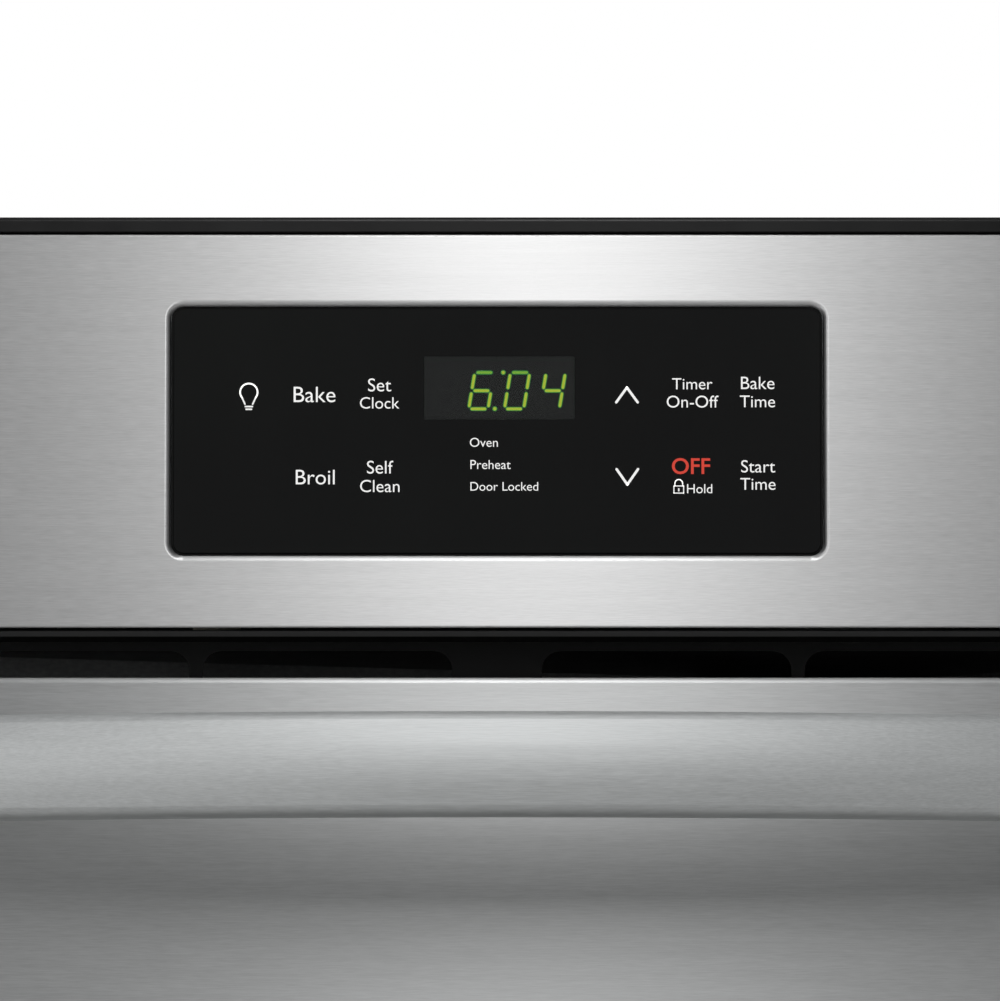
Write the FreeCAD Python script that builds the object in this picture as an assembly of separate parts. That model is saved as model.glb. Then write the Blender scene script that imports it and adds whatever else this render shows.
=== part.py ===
"""Single electric wall oven, 30 inch class, as separate sub-parts.

Units are millimetres. x = 0 is the middle of the width, y = 0 is the plane where
the front flange seats on the cabinet (the front faces -y), and z = 0 is the
underside of the base pan. Every piece is written to parts/NODE.step.
"""
import math
import os

import FreeCAD
import Part

V = FreeCAD.Vector

# ---------------------------------------------------------------- main sizes
FACE_HALF = 379.0        # half width of the fascia, door and flange
BODY_HALF = 360.0        # half width of the steel body
BODY_DEPTH = 590.0       # back of the body
BODY_TOP = 700.0
SHEET = 1.0              # body and door sheet
FRAME_T = 1.2            # front frame sheet
PRESS = 2.0              # depth of the stiffening fields pressed into the body sheets
PRESS_R = 22.0

# control fascia, touch glass and display
FASCIA_Y = -52.0         # front face
FASCIA_Z0, FASCIA_Z1 = 593.1, 731.1
FASCIA_R = 0.7           # outer bend of its edges
TRIM_Z0, TRIM_Z1 = 732.2, 737.6
THROAT_HALF = 114.2      # opening for the touch glass
THROAT_Z0, THROAT_Z1 = 618.3, 706.1
THROAT_R = 4.5
LIP_R = 2.0              # rolled lip of that opening
GLASS_GAP = 1.1
WINDOW_X0, WINDOW_X1 = -25.6, 27.3
WINDOW_Z0, WINDOW_Z1 = 666.1, 688.5

# vent above the door
VENT_FACE_Y = -5.0
VENT_LIP_Z0, VENT_TOP = 590.1, 592.4   # black lip below the fascia
VENT_FOOT_Z = 563.0      # lower edge of the slotted face
WELD_GAP = 0.05          # hairline left where two sheets are spot-welded
VENT_SLOT_Z0, VENT_SLOT_Z1 = 567.0, 588.0
VENT_SLOT_R = 7.0
VENT_SLOTS = ((15.8, 104.3), (109.0, 197.5), (202.0, 290.6))

# door
DOOR_Y = -53.5           # front face
DOOR_BACK = -9.5         # back face of the inner liner
DOOR_Z0, DOOR_Z1 = 50.0, 575.5
WIN_HALF, WIN_Z0, WIN_Z1 = 255.0, 165.0, 455.0
PLUG_HALF, PLUG_Z0, PLUG_Z1, PLUG_Y = 290.0, 110.0, 510.0, 5.0
DOOR_SHEET_R = 2.0

# handle: a bowed bar on two elbows
HANDLE_HALF = 330.0      # half chord of the bar
HANDLE_BOW = 44.0
HANDLE_END_Y = -66.5
HANDLE_MID_Z = 542.2
HANDLE_RISE = 2.6        # middle of the bow above its ends
HANDLE_H, HANDLE_D = 36.0, 18.0
HANDLE_WALL = 1.5
ELBOW_R = 20.0

# hinges (right-hand side; the left one is its mirror)
HINGE_X = 348.5
HINGE_Y, HINGE_Z = -33.0, 62.0
HINGE_PIN_R = 3.0
RUN_GAP = 0.05           # radial clearance of a running fit
CRANK = 9.9              # y and z offset of the crank pin from the axis

# cavity
CAV_HALF, CAV_Z0, CAV_Z1, CAV_DEPTH = 306.0, 95.0, 525.0, 490.0
CAV_WALL = 1.2
CAV_R = 20.0
RACK_LEVELS = (140.0, 195.0, 250.0, 305.0, 360.0, 415.0)
RIB_X = 296.5            # inner edge of the ribs that carry the racks
RACK_HALF = 299.8        # middle of a rack's side wires
LOWER_RACK, UPPER_RACK = 195.0, 360.0
LAMP_X, LAMP_Z = -230.0, 455.0
PROBE_X, PROBE_Z = 230.0, 470.0
BAKE_Z, BROIL_Z = 112.0, 500.0
SHEATH_R, SHEATH_BEND = 3.2, 24.0
BLANKET_GAP = 1.7        # air between the liner and its fibre blanket
EXHAUST_X, EXHAUST_Y, EXHAUST_R = -150.0, 60.0, 14.0

# latch
LATCH_X, LATCH_Y = -8.0, 150.0
CAM_X, CAM_Y = -13.4, 250.0
HOOK_Z0, HOOK_Z1 = 556.0, 559.0

# cooling fan
FAN_X, FAN_Y = 120.0, 280.0
DUCT_Z0, DUCT_Z1 = 576.5, 593.1

# cabinet screws in the flange
MOUNT_X, MOUNT_LOW, MOUNT_HIGH, MOUNT_R = 370.0, 110.0, 490.0, 2.6
CONDUIT_X, CONDUIT_Z, CONDUIT_R = 250.0, 640.0, 11.1

# assembly screws, door switch and lifting grips
LINER_SCREW_X, LINER_SCREW_Z = 338.0, (150, 300, 450)
PANEL_SCREW_X, PANEL_SCREW_Z = 352.0, (100, 350, 600)
SWITCH_X, SWITCH_Z = -200.0, 560.0
GRIP_Y0, GRIP_Y1, GRIP_Z0, GRIP_Z1, GRIP_R = 250.0, 350.0, 340.0, 375.0, 12.0

PARTS = {}


# ------------------------------------------------------------------- helpers
def box(x0, x1, y0, y1, z0, z1):
    """Box between two corners."""
    return Part.makeBox(x1 - x0, y1 - y0, z1 - z0, V(x0, y0, z0))


def rod(start, end, r):
    """Round bar from one point to another."""
    a, b = V(*start), V(*end)
    return Part.makeCylinder(r, (b - a).Length, a, b - a)


def block(x0, x1, y0, y1, z0, z1, axis, r):
    """Box whose four edges along one axis are rounded."""
    body = box(x0, x1, y0, y1, z0, z1)
    edges = [e for e in body.Edges if abs(getattr(e.tangentAt(e.FirstParameter), axis)) > 0.9]
    return body.makeFillet(r, edges)


def plate(x0, x1, z0, z1, y0, y1, r):
    """Plate facing y, with its four corners rounded."""
    return block(x0, x1, y0, y1, z0, z1, "y", r)


def pressed(sheet, lows, highs, axis):
    """Press a rounded field PRESS deep into a sheet from its outer face.

    The lows and highs are the field's corners across the sheet, with the outer face's
    own place as both values along the axis it faces.
    """
    at = "xyz".index(axis)
    low, high = list(lows), list(highs)
    low[at] -= PRESS + SHEET
    high[at] -= SHEET / 2
    bulge = block(low[0], high[0], low[1], high[1], low[2], high[2], axis, PRESS_R)
    low = [v + SHEET for v in lows]
    high = [v - SHEET for v in highs]
    low[at], high[at] = lows[at] - PRESS, highs[at] + 1
    hollow = block(low[0], high[0], low[1], high[1], low[2], high[2], axis, PRESS_R - SHEET)
    return sheet.fuse(bulge).cut(hollow).removeSplitter()


def fuse(shapes):
    """One shape out of several that touch or overlap."""
    shapes = list(shapes)
    out = shapes[0].multiFuse(shapes[1:]) if len(shapes) > 1 else shapes[0]
    return out.removeSplitter()


def cut(body, tools):
    """Body with every tool taken away."""
    tools = list(tools)
    return body.cut(tools) if tools else body


def both(shape):
    """A shape and its mirror image across x = 0."""
    return [shape, mirror(shape)]


def mirror(shape):
    return shape.mirror(V(0, 0, 0), V(1, 0, 0))


def group(shapes):
    """Loose solids that share one node."""
    return Part.makeCompound([s for shape in shapes for s in shape.Solids])


def bent_wire(points, r):
    """Path through points with every inner corner rounded to r."""
    pts = [V(*p) for p in points]
    edges, last = [], pts[0]
    for before, here, after in zip(pts, pts[1:], pts[2:]):
        a = (before - here).normalize()
        b = (after - here).normalize()
        half = a.getAngle(b) / 2
        reach = r / math.tan(half)
        start, end = here + a * reach, here + b * reach
        middle = (a + b).normalize()
        top = here + middle * (r / math.sin(half) - r)
        edges.append(Part.makeLine(last, start))
        edges.append(Part.Arc(start, top, end).toShape())
        last = end
    edges.append(Part.makeLine(last, pts[-1]))
    return Part.Wire(edges)


def bent_rod(points, rod_r, bend_r):
    """Round rod swept along a bent path."""
    path = bent_wire(points, bend_r)
    first = path.Edges[0]
    way = first.tangentAt(first.FirstParameter)
    ring = Part.Wire(Part.makeCircle(rod_r, V(*points[0]), way))
    return path.makePipeShell([ring], True, False)


def pan_screw(head, way, head_r, head_h, shank_r, shank):
    """Pan-head screw whose head sits at a point and whose shank goes one way."""
    p, d = V(*head), V(*way)
    body = Part.makeCylinder(head_r, head_h, p - d * head_h, d)
    rim = [e for e in body.Edges if e.Length > 1 and (e.valueAt(0) - p).dot(d) < -head_h / 2
           and len(e.Vertexes) == 1]
    body = body.makeFillet(head_h * 0.45, rim)
    return body.fuse(Part.makeCylinder(shank_r, shank, p, d)).removeSplitter()


def add(name, shape):
    """Check a finished piece and keep it under its node name."""
    solids = shape.Solids
    if not solids or not all(s.isValid() and s.Volume > 0 for s in solids):
        raise ValueError("bad solid: " + name)
    PARTS[name] = solids[0] if len(solids) == 1 else Part.makeCompound(solids)


def add_pair(name, right):
    """A right-hand piece and its mirrored left-hand twin."""
    add(name + "_right", right)
    add(name + "_left", mirror(right))


# ---------------------------------------------------------------- steel body
def make_body():
    """Base pan, side, back and top panels: the galvanised shell."""
    inner = BODY_HALF - SHEET - 0.1
    back = BODY_DEPTH - SHEET
    base = fuse([
        box(-inner, inner, -3.2, back - 1.2, 0, SHEET),
        box(-inner, inner, 0, SHEET, 0, 46),
        box(-inner, inner, back - 2.2, back - 1.2, 0, 20),
        box(-inner, -inner + SHEET, 0, back - 1.2, 0, 20),
        box(inner - SHEET, inner, 0, back - 1.2, 0, 20)])
    feet_holes = [rod((sx * 300, y, -1), (sx * 300, y, 2), 3.5) for sx in (-1, 1) for y in (80, 520)]
    add("base_pan", cut(base, feet_holes))

    side = fuse([
        box(BODY_HALF - SHEET, BODY_HALF, 0, back, 0, BODY_TOP),
        box(346, BODY_HALF, 0, SHEET, 90, 570),
        box(344, BODY_HALF, back - SHEET, back, 22, 686),
        block(BODY_HALF - 6, BODY_HALF, GRIP_Y0 - 1, GRIP_Y1 + 1, GRIP_Z0 - 1, GRIP_Z1 + 1, "x", GRIP_R + 1)])
    for z0, z1 in ((100, 312), (403, 660)):
        side = pressed(side, (BODY_HALF, 70, z0), (BODY_HALF, 530, z1), "x")
    grip = block(BODY_HALF - 7, BODY_HALF + 1, GRIP_Y0, GRIP_Y1, GRIP_Z0, GRIP_Z1, "x", GRIP_R)
    screw_holes = [rod((PANEL_SCREW_X, 560, z), (PANEL_SCREW_X, 600, z), 2.0) for z in PANEL_SCREW_Z]
    add_pair("side_panel", cut(side, [grip] + screw_holes))

    panel = box(-BODY_HALF, BODY_HALF, back, BODY_DEPTH, 0, BODY_TOP)
    for x0, x1 in ((-310, -20), (20, 310)):
        panel = pressed(panel, (x0, BODY_DEPTH, 70), (x1, BODY_DEPTH, 545), "y")
    holes = [rod((sx * PANEL_SCREW_X, 560, z), (sx * PANEL_SCREW_X, 600, z), 2.0)
             for sx in (-1, 1) for z in PANEL_SCREW_Z]
    louvres = []
    for sx in (-1, 1):
        for row in range(6):
            z = 590 + row * 14
            louvres.append(box(sx * 110 - 60, sx * 110 + 60, back - 1, BODY_DEPTH + 1, z, z + 4))
    conduit = rod((CONDUIT_X, back - 5, CONDUIT_Z), (CONDUIT_X, BODY_DEPTH + 5, CONDUIT_Z), 14.0)
    add("back_panel", cut(panel, holes + louvres + [conduit]))

    top = fuse([
        box(-inner, inner, 1.2, back - 1.2, BODY_TOP - SHEET, BODY_TOP),
        box(-inner, -inner + SHEET, 1.2, back - 1.2, BODY_TOP - 13, BODY_TOP),
        box(inner - SHEET, inner, 1.2, back - 1.2, BODY_TOP - 13, BODY_TOP)])
    for x0, x1 in ((-310, -20), (20, 310)):
        top = pressed(top, (x0, 200, BODY_TOP), (x1, 540, BODY_TOP), "z")
    slots = []
    for sx in (-1, 1):
        for row in range(8):
            y = 60 + row * 12
            slots.append(box(sx * 200 - 70, sx * 200 + 70, y, y + 4, BODY_TOP - 2, BODY_TOP + 1))
    add("top_panel", cut(top, slots))


def make_front_frame():
    """Enamelled flange that seats on the cabinet, with its screw holes."""
    body = fuse([
        box(-FACE_HALF, FACE_HALF, -FRAME_T, 0, 47, 574),
        box(BODY_HALF + 0.05, BODY_HALF + 0.05 + FRAME_T, -FRAME_T, 14, 47, 574),
        box(-BODY_HALF - 0.05 - FRAME_T, -BODY_HALF - 0.05, -FRAME_T, 14, 47, 574)])
    tools = [plate(-CAV_HALF, CAV_HALF, CAV_Z0, CAV_Z1, -5, 5, CAV_R)]
    for sx in (-1, 1):
        x0, x1 = sorted((sx * 345, sx * 352))
        tools.append(box(x0, x1, -5, 5, 50, 76))
        for z in (MOUNT_LOW, MOUNT_HIGH):
            tools.append(rod((sx * MOUNT_X, -5, z), (sx * MOUNT_X, 5, z), MOUNT_R))
        for z in LINER_SCREW_Z:
            tools.append(rod((sx * LINER_SCREW_X, -5, z), (sx * LINER_SCREW_X, 5, z), 2.0))
    tools.append(box(-14, 14, -5, 5, 553.5, 561.5))
    tools.append(rod((SWITCH_X, -5, SWITCH_Z), (SWITCH_X, 5, SWITCH_Z), 3.0))
    add("front_frame", cut(body, tools))


def lip_edge(body, y, z, radius):
    """Round the long edge of a strip at one place in y and z."""
    edges = [e for e in body.Edges if e.Length > BODY_HALF
             and all(abs(v.Point.y - y) < 0.01 and abs(v.Point.z - z) < 0.01 for v in e.Vertexes)]
    return body.makeFillet(radius, edges)


def make_vent_grille():
    """Cover strip with a turned-down lip under the fascia, and the slotted face behind it."""
    half, front = FACE_HALF - 4, FASCIA_Y + 2.1
    cover = fuse([
        box(-half, half, front, VENT_FACE_Y - WELD_GAP, VENT_TOP - FRAME_T, VENT_TOP),
        box(-half, half, front, front + FRAME_T, VENT_LIP_Z0, VENT_TOP)])
    face = fuse([
        box(-half, half, VENT_FACE_Y, VENT_FACE_Y + SHEET, VENT_FOOT_Z, VENT_TOP),
        box(-half, half, VENT_FACE_Y, -FRAME_T, VENT_FOOT_Z, VENT_FOOT_Z + SHEET)])
    slots = []
    for x0, x1 in VENT_SLOTS:
        slot = plate(x0, x1, VENT_SLOT_Z0, VENT_SLOT_Z1, VENT_FACE_Y - 2, VENT_FACE_Y + 2, VENT_SLOT_R)
        slots += both(slot)
    add("vent_grille", group([lip_edge(cover, front, VENT_TOP, 0.9), cut(face, slots)]))


def make_trims():
    """Black strips above the fascia and below the door."""
    strip = fuse([
        box(-FACE_HALF, FACE_HALF, -50, 0, TRIM_Z0, TRIM_Z0 + 1.2),
        box(-FACE_HALF, FACE_HALF, -50, -48.4, TRIM_Z0, TRIM_Z1),
        box(-FACE_HALF, FACE_HALF, -50, 0, TRIM_Z1 - 1.6, TRIM_Z1)])
    add("top_trim", lip_edge(lip_edge(strip, -50, TRIM_Z1, 1.5), -50, TRIM_Z0, 0.4))
    body = fuse([
        box(-375, 375, -3.2, -2.2, 2, 45),
        box(-375, 375, -3.2, 0, 44, 45),
        box(-375, 375, -3.2, 0, 2, 3)])
    slots = []
    for column in range(-4, 5):
        for row in range(3):
            x, z = column * 72, 12 + row * 10
            slots.append(plate(x - 28, x + 28, z, z + 5, -5, -1, 2.4))
    add("bottom_trim", cut(body, slots))


# -------------------------------------------------------------------- cavity
def make_cavity():
    """Enamelled liner with rack ribs, and the fibre blanket round it."""
    outer = plate(-CAV_HALF - CAV_WALL, CAV_HALF + CAV_WALL, CAV_Z0 - CAV_WALL, CAV_Z1 + CAV_WALL,
                  0, CAV_DEPTH + CAV_WALL, CAV_R + CAV_WALL)
    flange = box(-343, 343, 0, CAV_WALL, 66, 551)
    inside = plate(-CAV_HALF, CAV_HALF, CAV_Z0, CAV_Z1, -1, CAV_DEPTH, CAV_R)
    body = fuse([outer, flange]).cut(inside)
    ribs, grooves = [], []
    for z in RACK_LEVELS:
        ribs += both(box(RIB_X, CAV_HALF + 0.5, 20, 470, z - 5, z))
        grooves += both(box(RIB_X + 1, CAV_HALF + 2, 21, 469, z - 4, z - 1))
    body = cut(fuse([body] + ribs), grooves)
    rear = (CAV_DEPTH - 2, CAV_DEPTH + 4)
    holes = []
    for x, z, r in ((-40, BAKE_Z, SHEATH_R + 0.4), (40, BAKE_Z, SHEATH_R + 0.4),
                    (-60, BROIL_Z, SHEATH_R + 0.4), (60, BROIL_Z, SHEATH_R + 0.4),
                    (PROBE_X, PROBE_Z, 2.9), (LAMP_X, LAMP_Z, 22.0)):
        holes.append(rod((x, rear[0], z), (x, rear[1], z), r))
    holes.append(rod((EXHAUST_X, EXHAUST_Y, 520), (EXHAUST_X, EXHAUST_Y, 530), EXHAUST_R + 1.1))
    for sx in (-1, 1):
        for z in LINER_SCREW_Z:
            holes.append(rod((sx * LINER_SCREW_X, -1, z), (sx * LINER_SCREW_X, 3, z), 2.0))
    add("cavity_liner", cut(body, holes))

    gap = BLANKET_GAP
    pad = box(-331, 331, gap, 515, 68, 551).cut(
        box(-CAV_HALF - gap, CAV_HALF + gap, 0, CAV_DEPTH + gap, CAV_Z0 - gap, CAV_Z1 + gap))
    openings = [
        rod((LAMP_X, 480, LAMP_Z), (LAMP_X, 520, LAMP_Z), 34),
        rod((EXHAUST_X, EXHAUST_Y, 520), (EXHAUST_X, EXHAUST_Y, 560), 23),
        box(-52, 52, 480, 520, 100, 124), box(-72, 72, 480, 520, 488, 512),
        box(218, 242, 480, 520, 458, 482)]
    add("insulation_blanket", cut(pad, openings))


def make_elements():
    """Bake and broil elements and the temperature probe."""
    bake = [(-40, 530), (-40, 455), (-255, 455), (-255, 70), (-180, 70), (-180, 395), (-105, 395),
            (-105, 70), (-35, 70), (-35, 395), (35, 395), (35, 70), (105, 70), (105, 395), (180, 395),
            (180, 70), (255, 70), (255, 455), (40, 455), (40, 530)]
    path = [(x, y, BAKE_Z) for x, y in bake]
    add("bake_element", bent_rod(path, SHEATH_R, SHEATH_BEND))
    broil = [(-60, 530), (-60, 445), (-225, 445), (-225, 105), (-158, 105), (-158, 375), (-92, 375),
             (-92, 105), (-28, 105), (-28, 375), (28, 375), (28, 105), (92, 105), (92, 375), (158, 375),
             (158, 105), (225, 105), (225, 445), (60, 445), (60, 530)]
    path = [(x, y, BROIL_Z) for x, y in broil]
    add("broil_element", bent_rod(path, SHEATH_R, SHEATH_BEND))
    probe = fuse([
        rod((PROBE_X, 395, PROBE_Z), (PROBE_X, 545, PROBE_Z), 2.4),
        Part.makeSphere(2.4, V(PROBE_X, 395, PROBE_Z)),
        box(PROBE_X - 16, PROBE_X + 16, CAV_DEPTH - 1.2, CAV_DEPTH, PROBE_Z - 10, PROBE_Z + 10)])
    add("temperature_probe", probe)


def make_lamp():
    """Lamp socket, bulb and screwed glass cover in the rear wall."""
    x, z = LAMP_X, LAMP_Z
    wall = CAV_DEPTH
    shell = fuse([
        rod((x, wall - 2.2, z), (x, wall, z), 31),
        rod((x, wall - 2.2, z), (x, 536, z), 21.8)])
    hollow = rod((x, wall - 5, z), (x, 522, z), 20.4)
    recess = rod((x, 521, z), (x, 533, z), 9.2)
    tabs = [box(x - 14, x - 12.8, 535, 547, z - 3, z + 3), box(x + 12.8, x + 14, 535, 547, z - 3, z + 3)]
    add("lamp_socket", fuse([cut(shell, [hollow, recess])] + tabs))
    glass = fuse([
        Part.makeSphere(13, V(x, 484, z)),
        Part.makeCone(12.2, 8.2, 20, V(x, 488, z), V(0, 1, 0))])
    cap = rod((x, 508, z), (x, 532, z), 9.0)
    add("lamp_bulb", fuse([glass, cap]))
    dome = rod((x, 458, z), (x, wall - 2.3, z), 27)
    front = [e for e in dome.Edges if len(e.Vertexes) == 1 and e.valueAt(0).y < 459]
    dome = dome.makeFillet(12, front)
    hollow = rod((x, 461.5, z), (x, wall, z), 23.8)
    front = [e for e in hollow.Edges if len(e.Vertexes) == 1 and e.valueAt(0).y < 462]
    add("lamp_lens", dome.cut(hollow.makeFillet(9, front)))


def make_gasket():
    """Tube seal round the mouth of the cavity."""
    ring = plate(-327, 327, 74, 546, -9.2, -1.5, 26).cut(plate(-315, 315, 86, 534, -12, 1, 14))
    edges = []
    for e in ring.Edges:
        ys = [v.Point.y for v in e.Vertexes]
        if max(ys) - min(ys) < 0.1:
            edges.append(e)
    add("door_gasket", ring.makeFillet(3.4, edges))


# --------------------------------------------------------------------- racks
def make_rack(level):
    """Wire rack whose side wires lie on the wall ribs."""
    z = level + 3.05
    rim_r, wire_r, back_y, front_y = 3.0, 1.6, 465.0, 34.0
    rim = bent_rod([(0, back_y, z), (-RACK_HALF, back_y, z), (-RACK_HALF, front_y, z), (0, front_y, z)],
                   rim_r, 12)
    wires = [rim, mirror(rim)]
    for y in (150, 349):
        wires.append(rod((-RACK_HALF, y, z), (RACK_HALF, y, z), 2.4))
    count = 21
    for i in range(count):
        x = -270 + i * 540 / (count - 1)
        wires.append(rod((x, front_y, z + 2.2), (x, back_y, z + 2.2), wire_r))
    return fuse(wires)


# --------------------------------------------------------------------- latch
def make_latch():
    """Motor-driven door latch: bracket, hook on its pivot, cam and motor."""
    bracket = fuse([
        box(-55, 50, 4, 300, 551.5, 553),
        box(-55, 50, 0, 1.2, 551.5, 573),
        box(-55, 50, 0, 5, 551.5, 553),
        rod((LATCH_X, LATCH_Y, 552), (LATCH_X, LATCH_Y, 560.5), 3.0)])
    add("latch_bracket", cut(bracket, [box(-16, 18, -1, 3, 554.5, 562)]))

    x = LATCH_X
    hook = fuse([
        box(x - 4, x + 4, -26, 236, HOOK_Z0, HOOK_Z1),
        box(x + 4, x + 13, -26, -16, HOOK_Z0, HOOK_Z1),
        rod((x, LATCH_Y, HOOK_Z0), (x, LATCH_Y, HOOK_Z1), 8),
        box(x - 7.5, x + 7.5, 234, 256, HOOK_Z0, HOOK_Z1)])
    slot = box(x - 3.1, x + 3.1, 240, 251, HOOK_Z0 - 1, HOOK_Z1 + 1)
    eye = rod((x, LATCH_Y, HOOK_Z0 - 1), (x, LATCH_Y, HOOK_Z1 + 1), 3.0 + RUN_GAP)
    add("latch_hook", cut(hook, [slot, eye]))

    add("latch_cam", fuse([
        rod((CAM_X, CAM_Y, 561), (CAM_X, CAM_Y, 564), 10),
        rod((CAM_X, CAM_Y, 564), (CAM_X, CAM_Y, 572), 3),
        rod((CAM_X + 5.41, CAM_Y - 3.1, 555), (CAM_X + 5.41, CAM_Y - 3.1, 561), 2)]))

    motor = box(CAM_X - 25, CAM_X + 25, 225, 275, 565.5, 598)
    motor = motor.makeFillet(4, [e for e in motor.Edges if abs(e.tangentAt(0).z) > 0.9])
    legs = []
    for lx in (-37, 9.5):
        for ly in (228, 268):
            legs.append(box(lx - 1 if lx < 0 else lx - 1.5, lx + 4, ly, ly + 5, 553, 566))
    rim = fuse([motor, rod((CAM_X, CAM_Y, 598), (CAM_X, CAM_Y, 604), 12)] + legs)
    add("latch_motor", cut(rim, [rod((CAM_X, CAM_Y, 560), (CAM_X, CAM_Y, 574), 3.0 + RUN_GAP)]))


# --------------------------------------------------------------- cooling air
def prism(points, z0, z1):
    """Upright prism on a plan outline."""
    loop = Part.makePolygon([V(x, y, z0) for x, y in points + points[:1]])
    return Part.Face(loop).extrude(V(0, 0, z1 - z0))


def make_cooling():
    """Duct, blower, exhaust tube and thermal cutout above the liner."""
    outer = [(-300, -3.9), (300, -3.9), (300, 40), (165, 205), (75, 205), (-300, 40)]
    inner = [(-299, -3.9), (299, -3.9), (299, 39.6), (164.5, 204), (75.2, 204), (-299, 39.35)]
    duct = prism(outer, DUCT_Z0, DUCT_Z1)
    tools = [
        prism(inner, DUCT_Z0 + 0.8, DUCT_Z1 - 0.8),
        box(-299, 299, -6, 0, DUCT_Z0 + 0.8, DUCT_Z1 - 0.8),
        box(76, 164, 200, 210, DUCT_Z0 + 0.8, DUCT_Z1 - 0.8),
        rod((EXHAUST_X, EXHAUST_Y, 570), (EXHAUST_X, EXHAUST_Y, 580), EXHAUST_R)]
    add("air_duct", cut(duct, tools))

    scroll_r, top = 62.0, 626.0
    shell = fuse([
        rod((FAN_X, FAN_Y, DUCT_Z0), (FAN_X, FAN_Y, top), scroll_r),
        box(75, 165, 205.1, FAN_Y, DUCT_Z0, DUCT_Z1)])
    hollow = fuse([
        rod((FAN_X, FAN_Y, DUCT_Z0 + 1), (FAN_X, FAN_Y, top - 1), scroll_r - 1),
        box(76, 164, 204, FAN_Y, DUCT_Z0 + 1, DUCT_Z1 - 1)])
    inlet = rod((FAN_X, FAN_Y, top - 3), (FAN_X, FAN_Y, top + 3), 33)
    add("fan_housing", cut(shell, [hollow, inlet]))

    body = fuse([
        rod((FAN_X, FAN_Y, 642), (FAN_X, FAN_Y, 672), 28),
        rod((FAN_X, FAN_Y, 638), (FAN_X, FAN_Y, 678), 12)])
    legs = []
    for k in range(3):
        a = math.radians(90 + 120 * k)
        c, s = math.cos(a), math.sin(a)
        foot = (FAN_X + 48 * c, FAN_Y + 48 * s)
        legs.append(rod((*foot, top), (*foot, 655), 3))
        arm = box(22, 52, -3.6, 3.6, 655, 657)
        arm.rotate(V(0, 0, 0), V(0, 0, 1), 90 + 120 * k)
        arm.translate(V(FAN_X, FAN_Y, 0))
        legs.append(arm)
    bore = rod((FAN_X, FAN_Y, 630), (FAN_X, FAN_Y, 664), 3.0 + RUN_GAP)
    add("fan_motor", cut(fuse([body] + legs), [bore]))

    blades = []
    for k in range(24):
        blade = box(40, 51, -0.5, 0.5, 584, 612)
        blade.rotate(V(40, 0, 0), V(0, 0, 1), 35)
        blade.rotate(V(0, 0, 0), V(0, 0, 1), 15 * k)
        blade.translate(V(FAN_X, FAN_Y, 0))
        blades.append(blade)
    ring = rod((FAN_X, FAN_Y, 611), (FAN_X, FAN_Y, 613.5), 51).cut(
        rod((FAN_X, FAN_Y, 600), (FAN_X, FAN_Y, 620), 39.5))
    wheel = [
        rod((FAN_X, FAN_Y, 582), (FAN_X, FAN_Y, 584.2), 51),
        rod((FAN_X, FAN_Y, 582), (FAN_X, FAN_Y, 600), 9),
        rod((FAN_X, FAN_Y, 582), (FAN_X, FAN_Y, 660), 3), ring]
    add("fan_impeller", fuse(wheel + blades))

    x, y = EXHAUST_X, EXHAUST_Y
    tube = fuse([
        rod((x, y, 522), (x, y, DUCT_Z0), EXHAUST_R + 1),
        rod((x, y, CAV_Z1 + CAV_WALL), (x, y, CAV_Z1 + CAV_WALL + 1), 21)])
    add("oven_vent_tube", tube.cut(rod((x, y, 520), (x, y, 580), EXHAUST_R)))

    disc = fuse([
        box(-112, -88, 14, 26, DUCT_Z1, DUCT_Z1 + 1),
        rod((-100, 20, DUCT_Z1), (-100, 20, DUCT_Z1 + 9), 8.5),
        box(-107, -106.2, 17, 23, DUCT_Z1 + 8, DUCT_Z1 + 16),
        box(-93.8, -93, 17, 23, DUCT_Z1 + 8, DUCT_Z1 + 16)])
    add("thermal_cutout", disc)


def make_switch():
    """Door switch with its sprung plunger."""
    x, z = SWITCH_X, SWITCH_Z
    body = box(x - 10, x + 10, 0, 26, 552, 570)
    bores = [rod((x, -1, z), (x, 22, z), 2.5 + RUN_GAP)]
    tabs = [box(x - 6, x - 5.2, 26, 34, 557, 563), box(x + 5.2, x + 6, 26, 34, 557, 563)]
    add("door_switch", fuse([cut(body, bores)] + tabs))
    add("switch_plunger", rod((x, DOOR_BACK + 0.3, z), (x, 14, z), 2.5))


def make_conduit():
    """Bushing through the back panel for the supply conduit."""
    x, z = CONDUIT_X, CONDUIT_Z
    body = fuse([
        rod((x, BODY_DEPTH, z), (x, BODY_DEPTH + 3, z), 19),
        rod((x, BODY_DEPTH - 9, z), (x, BODY_DEPTH, z), 13.9),
        rod((x, BODY_DEPTH - 5.5, z), (x, BODY_DEPTH - 1.1, z), 16.5)])
    add("conduit_bushing", cut(body, [rod((x, 560, z), (x, 610, z), CONDUIT_R)]))


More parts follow.
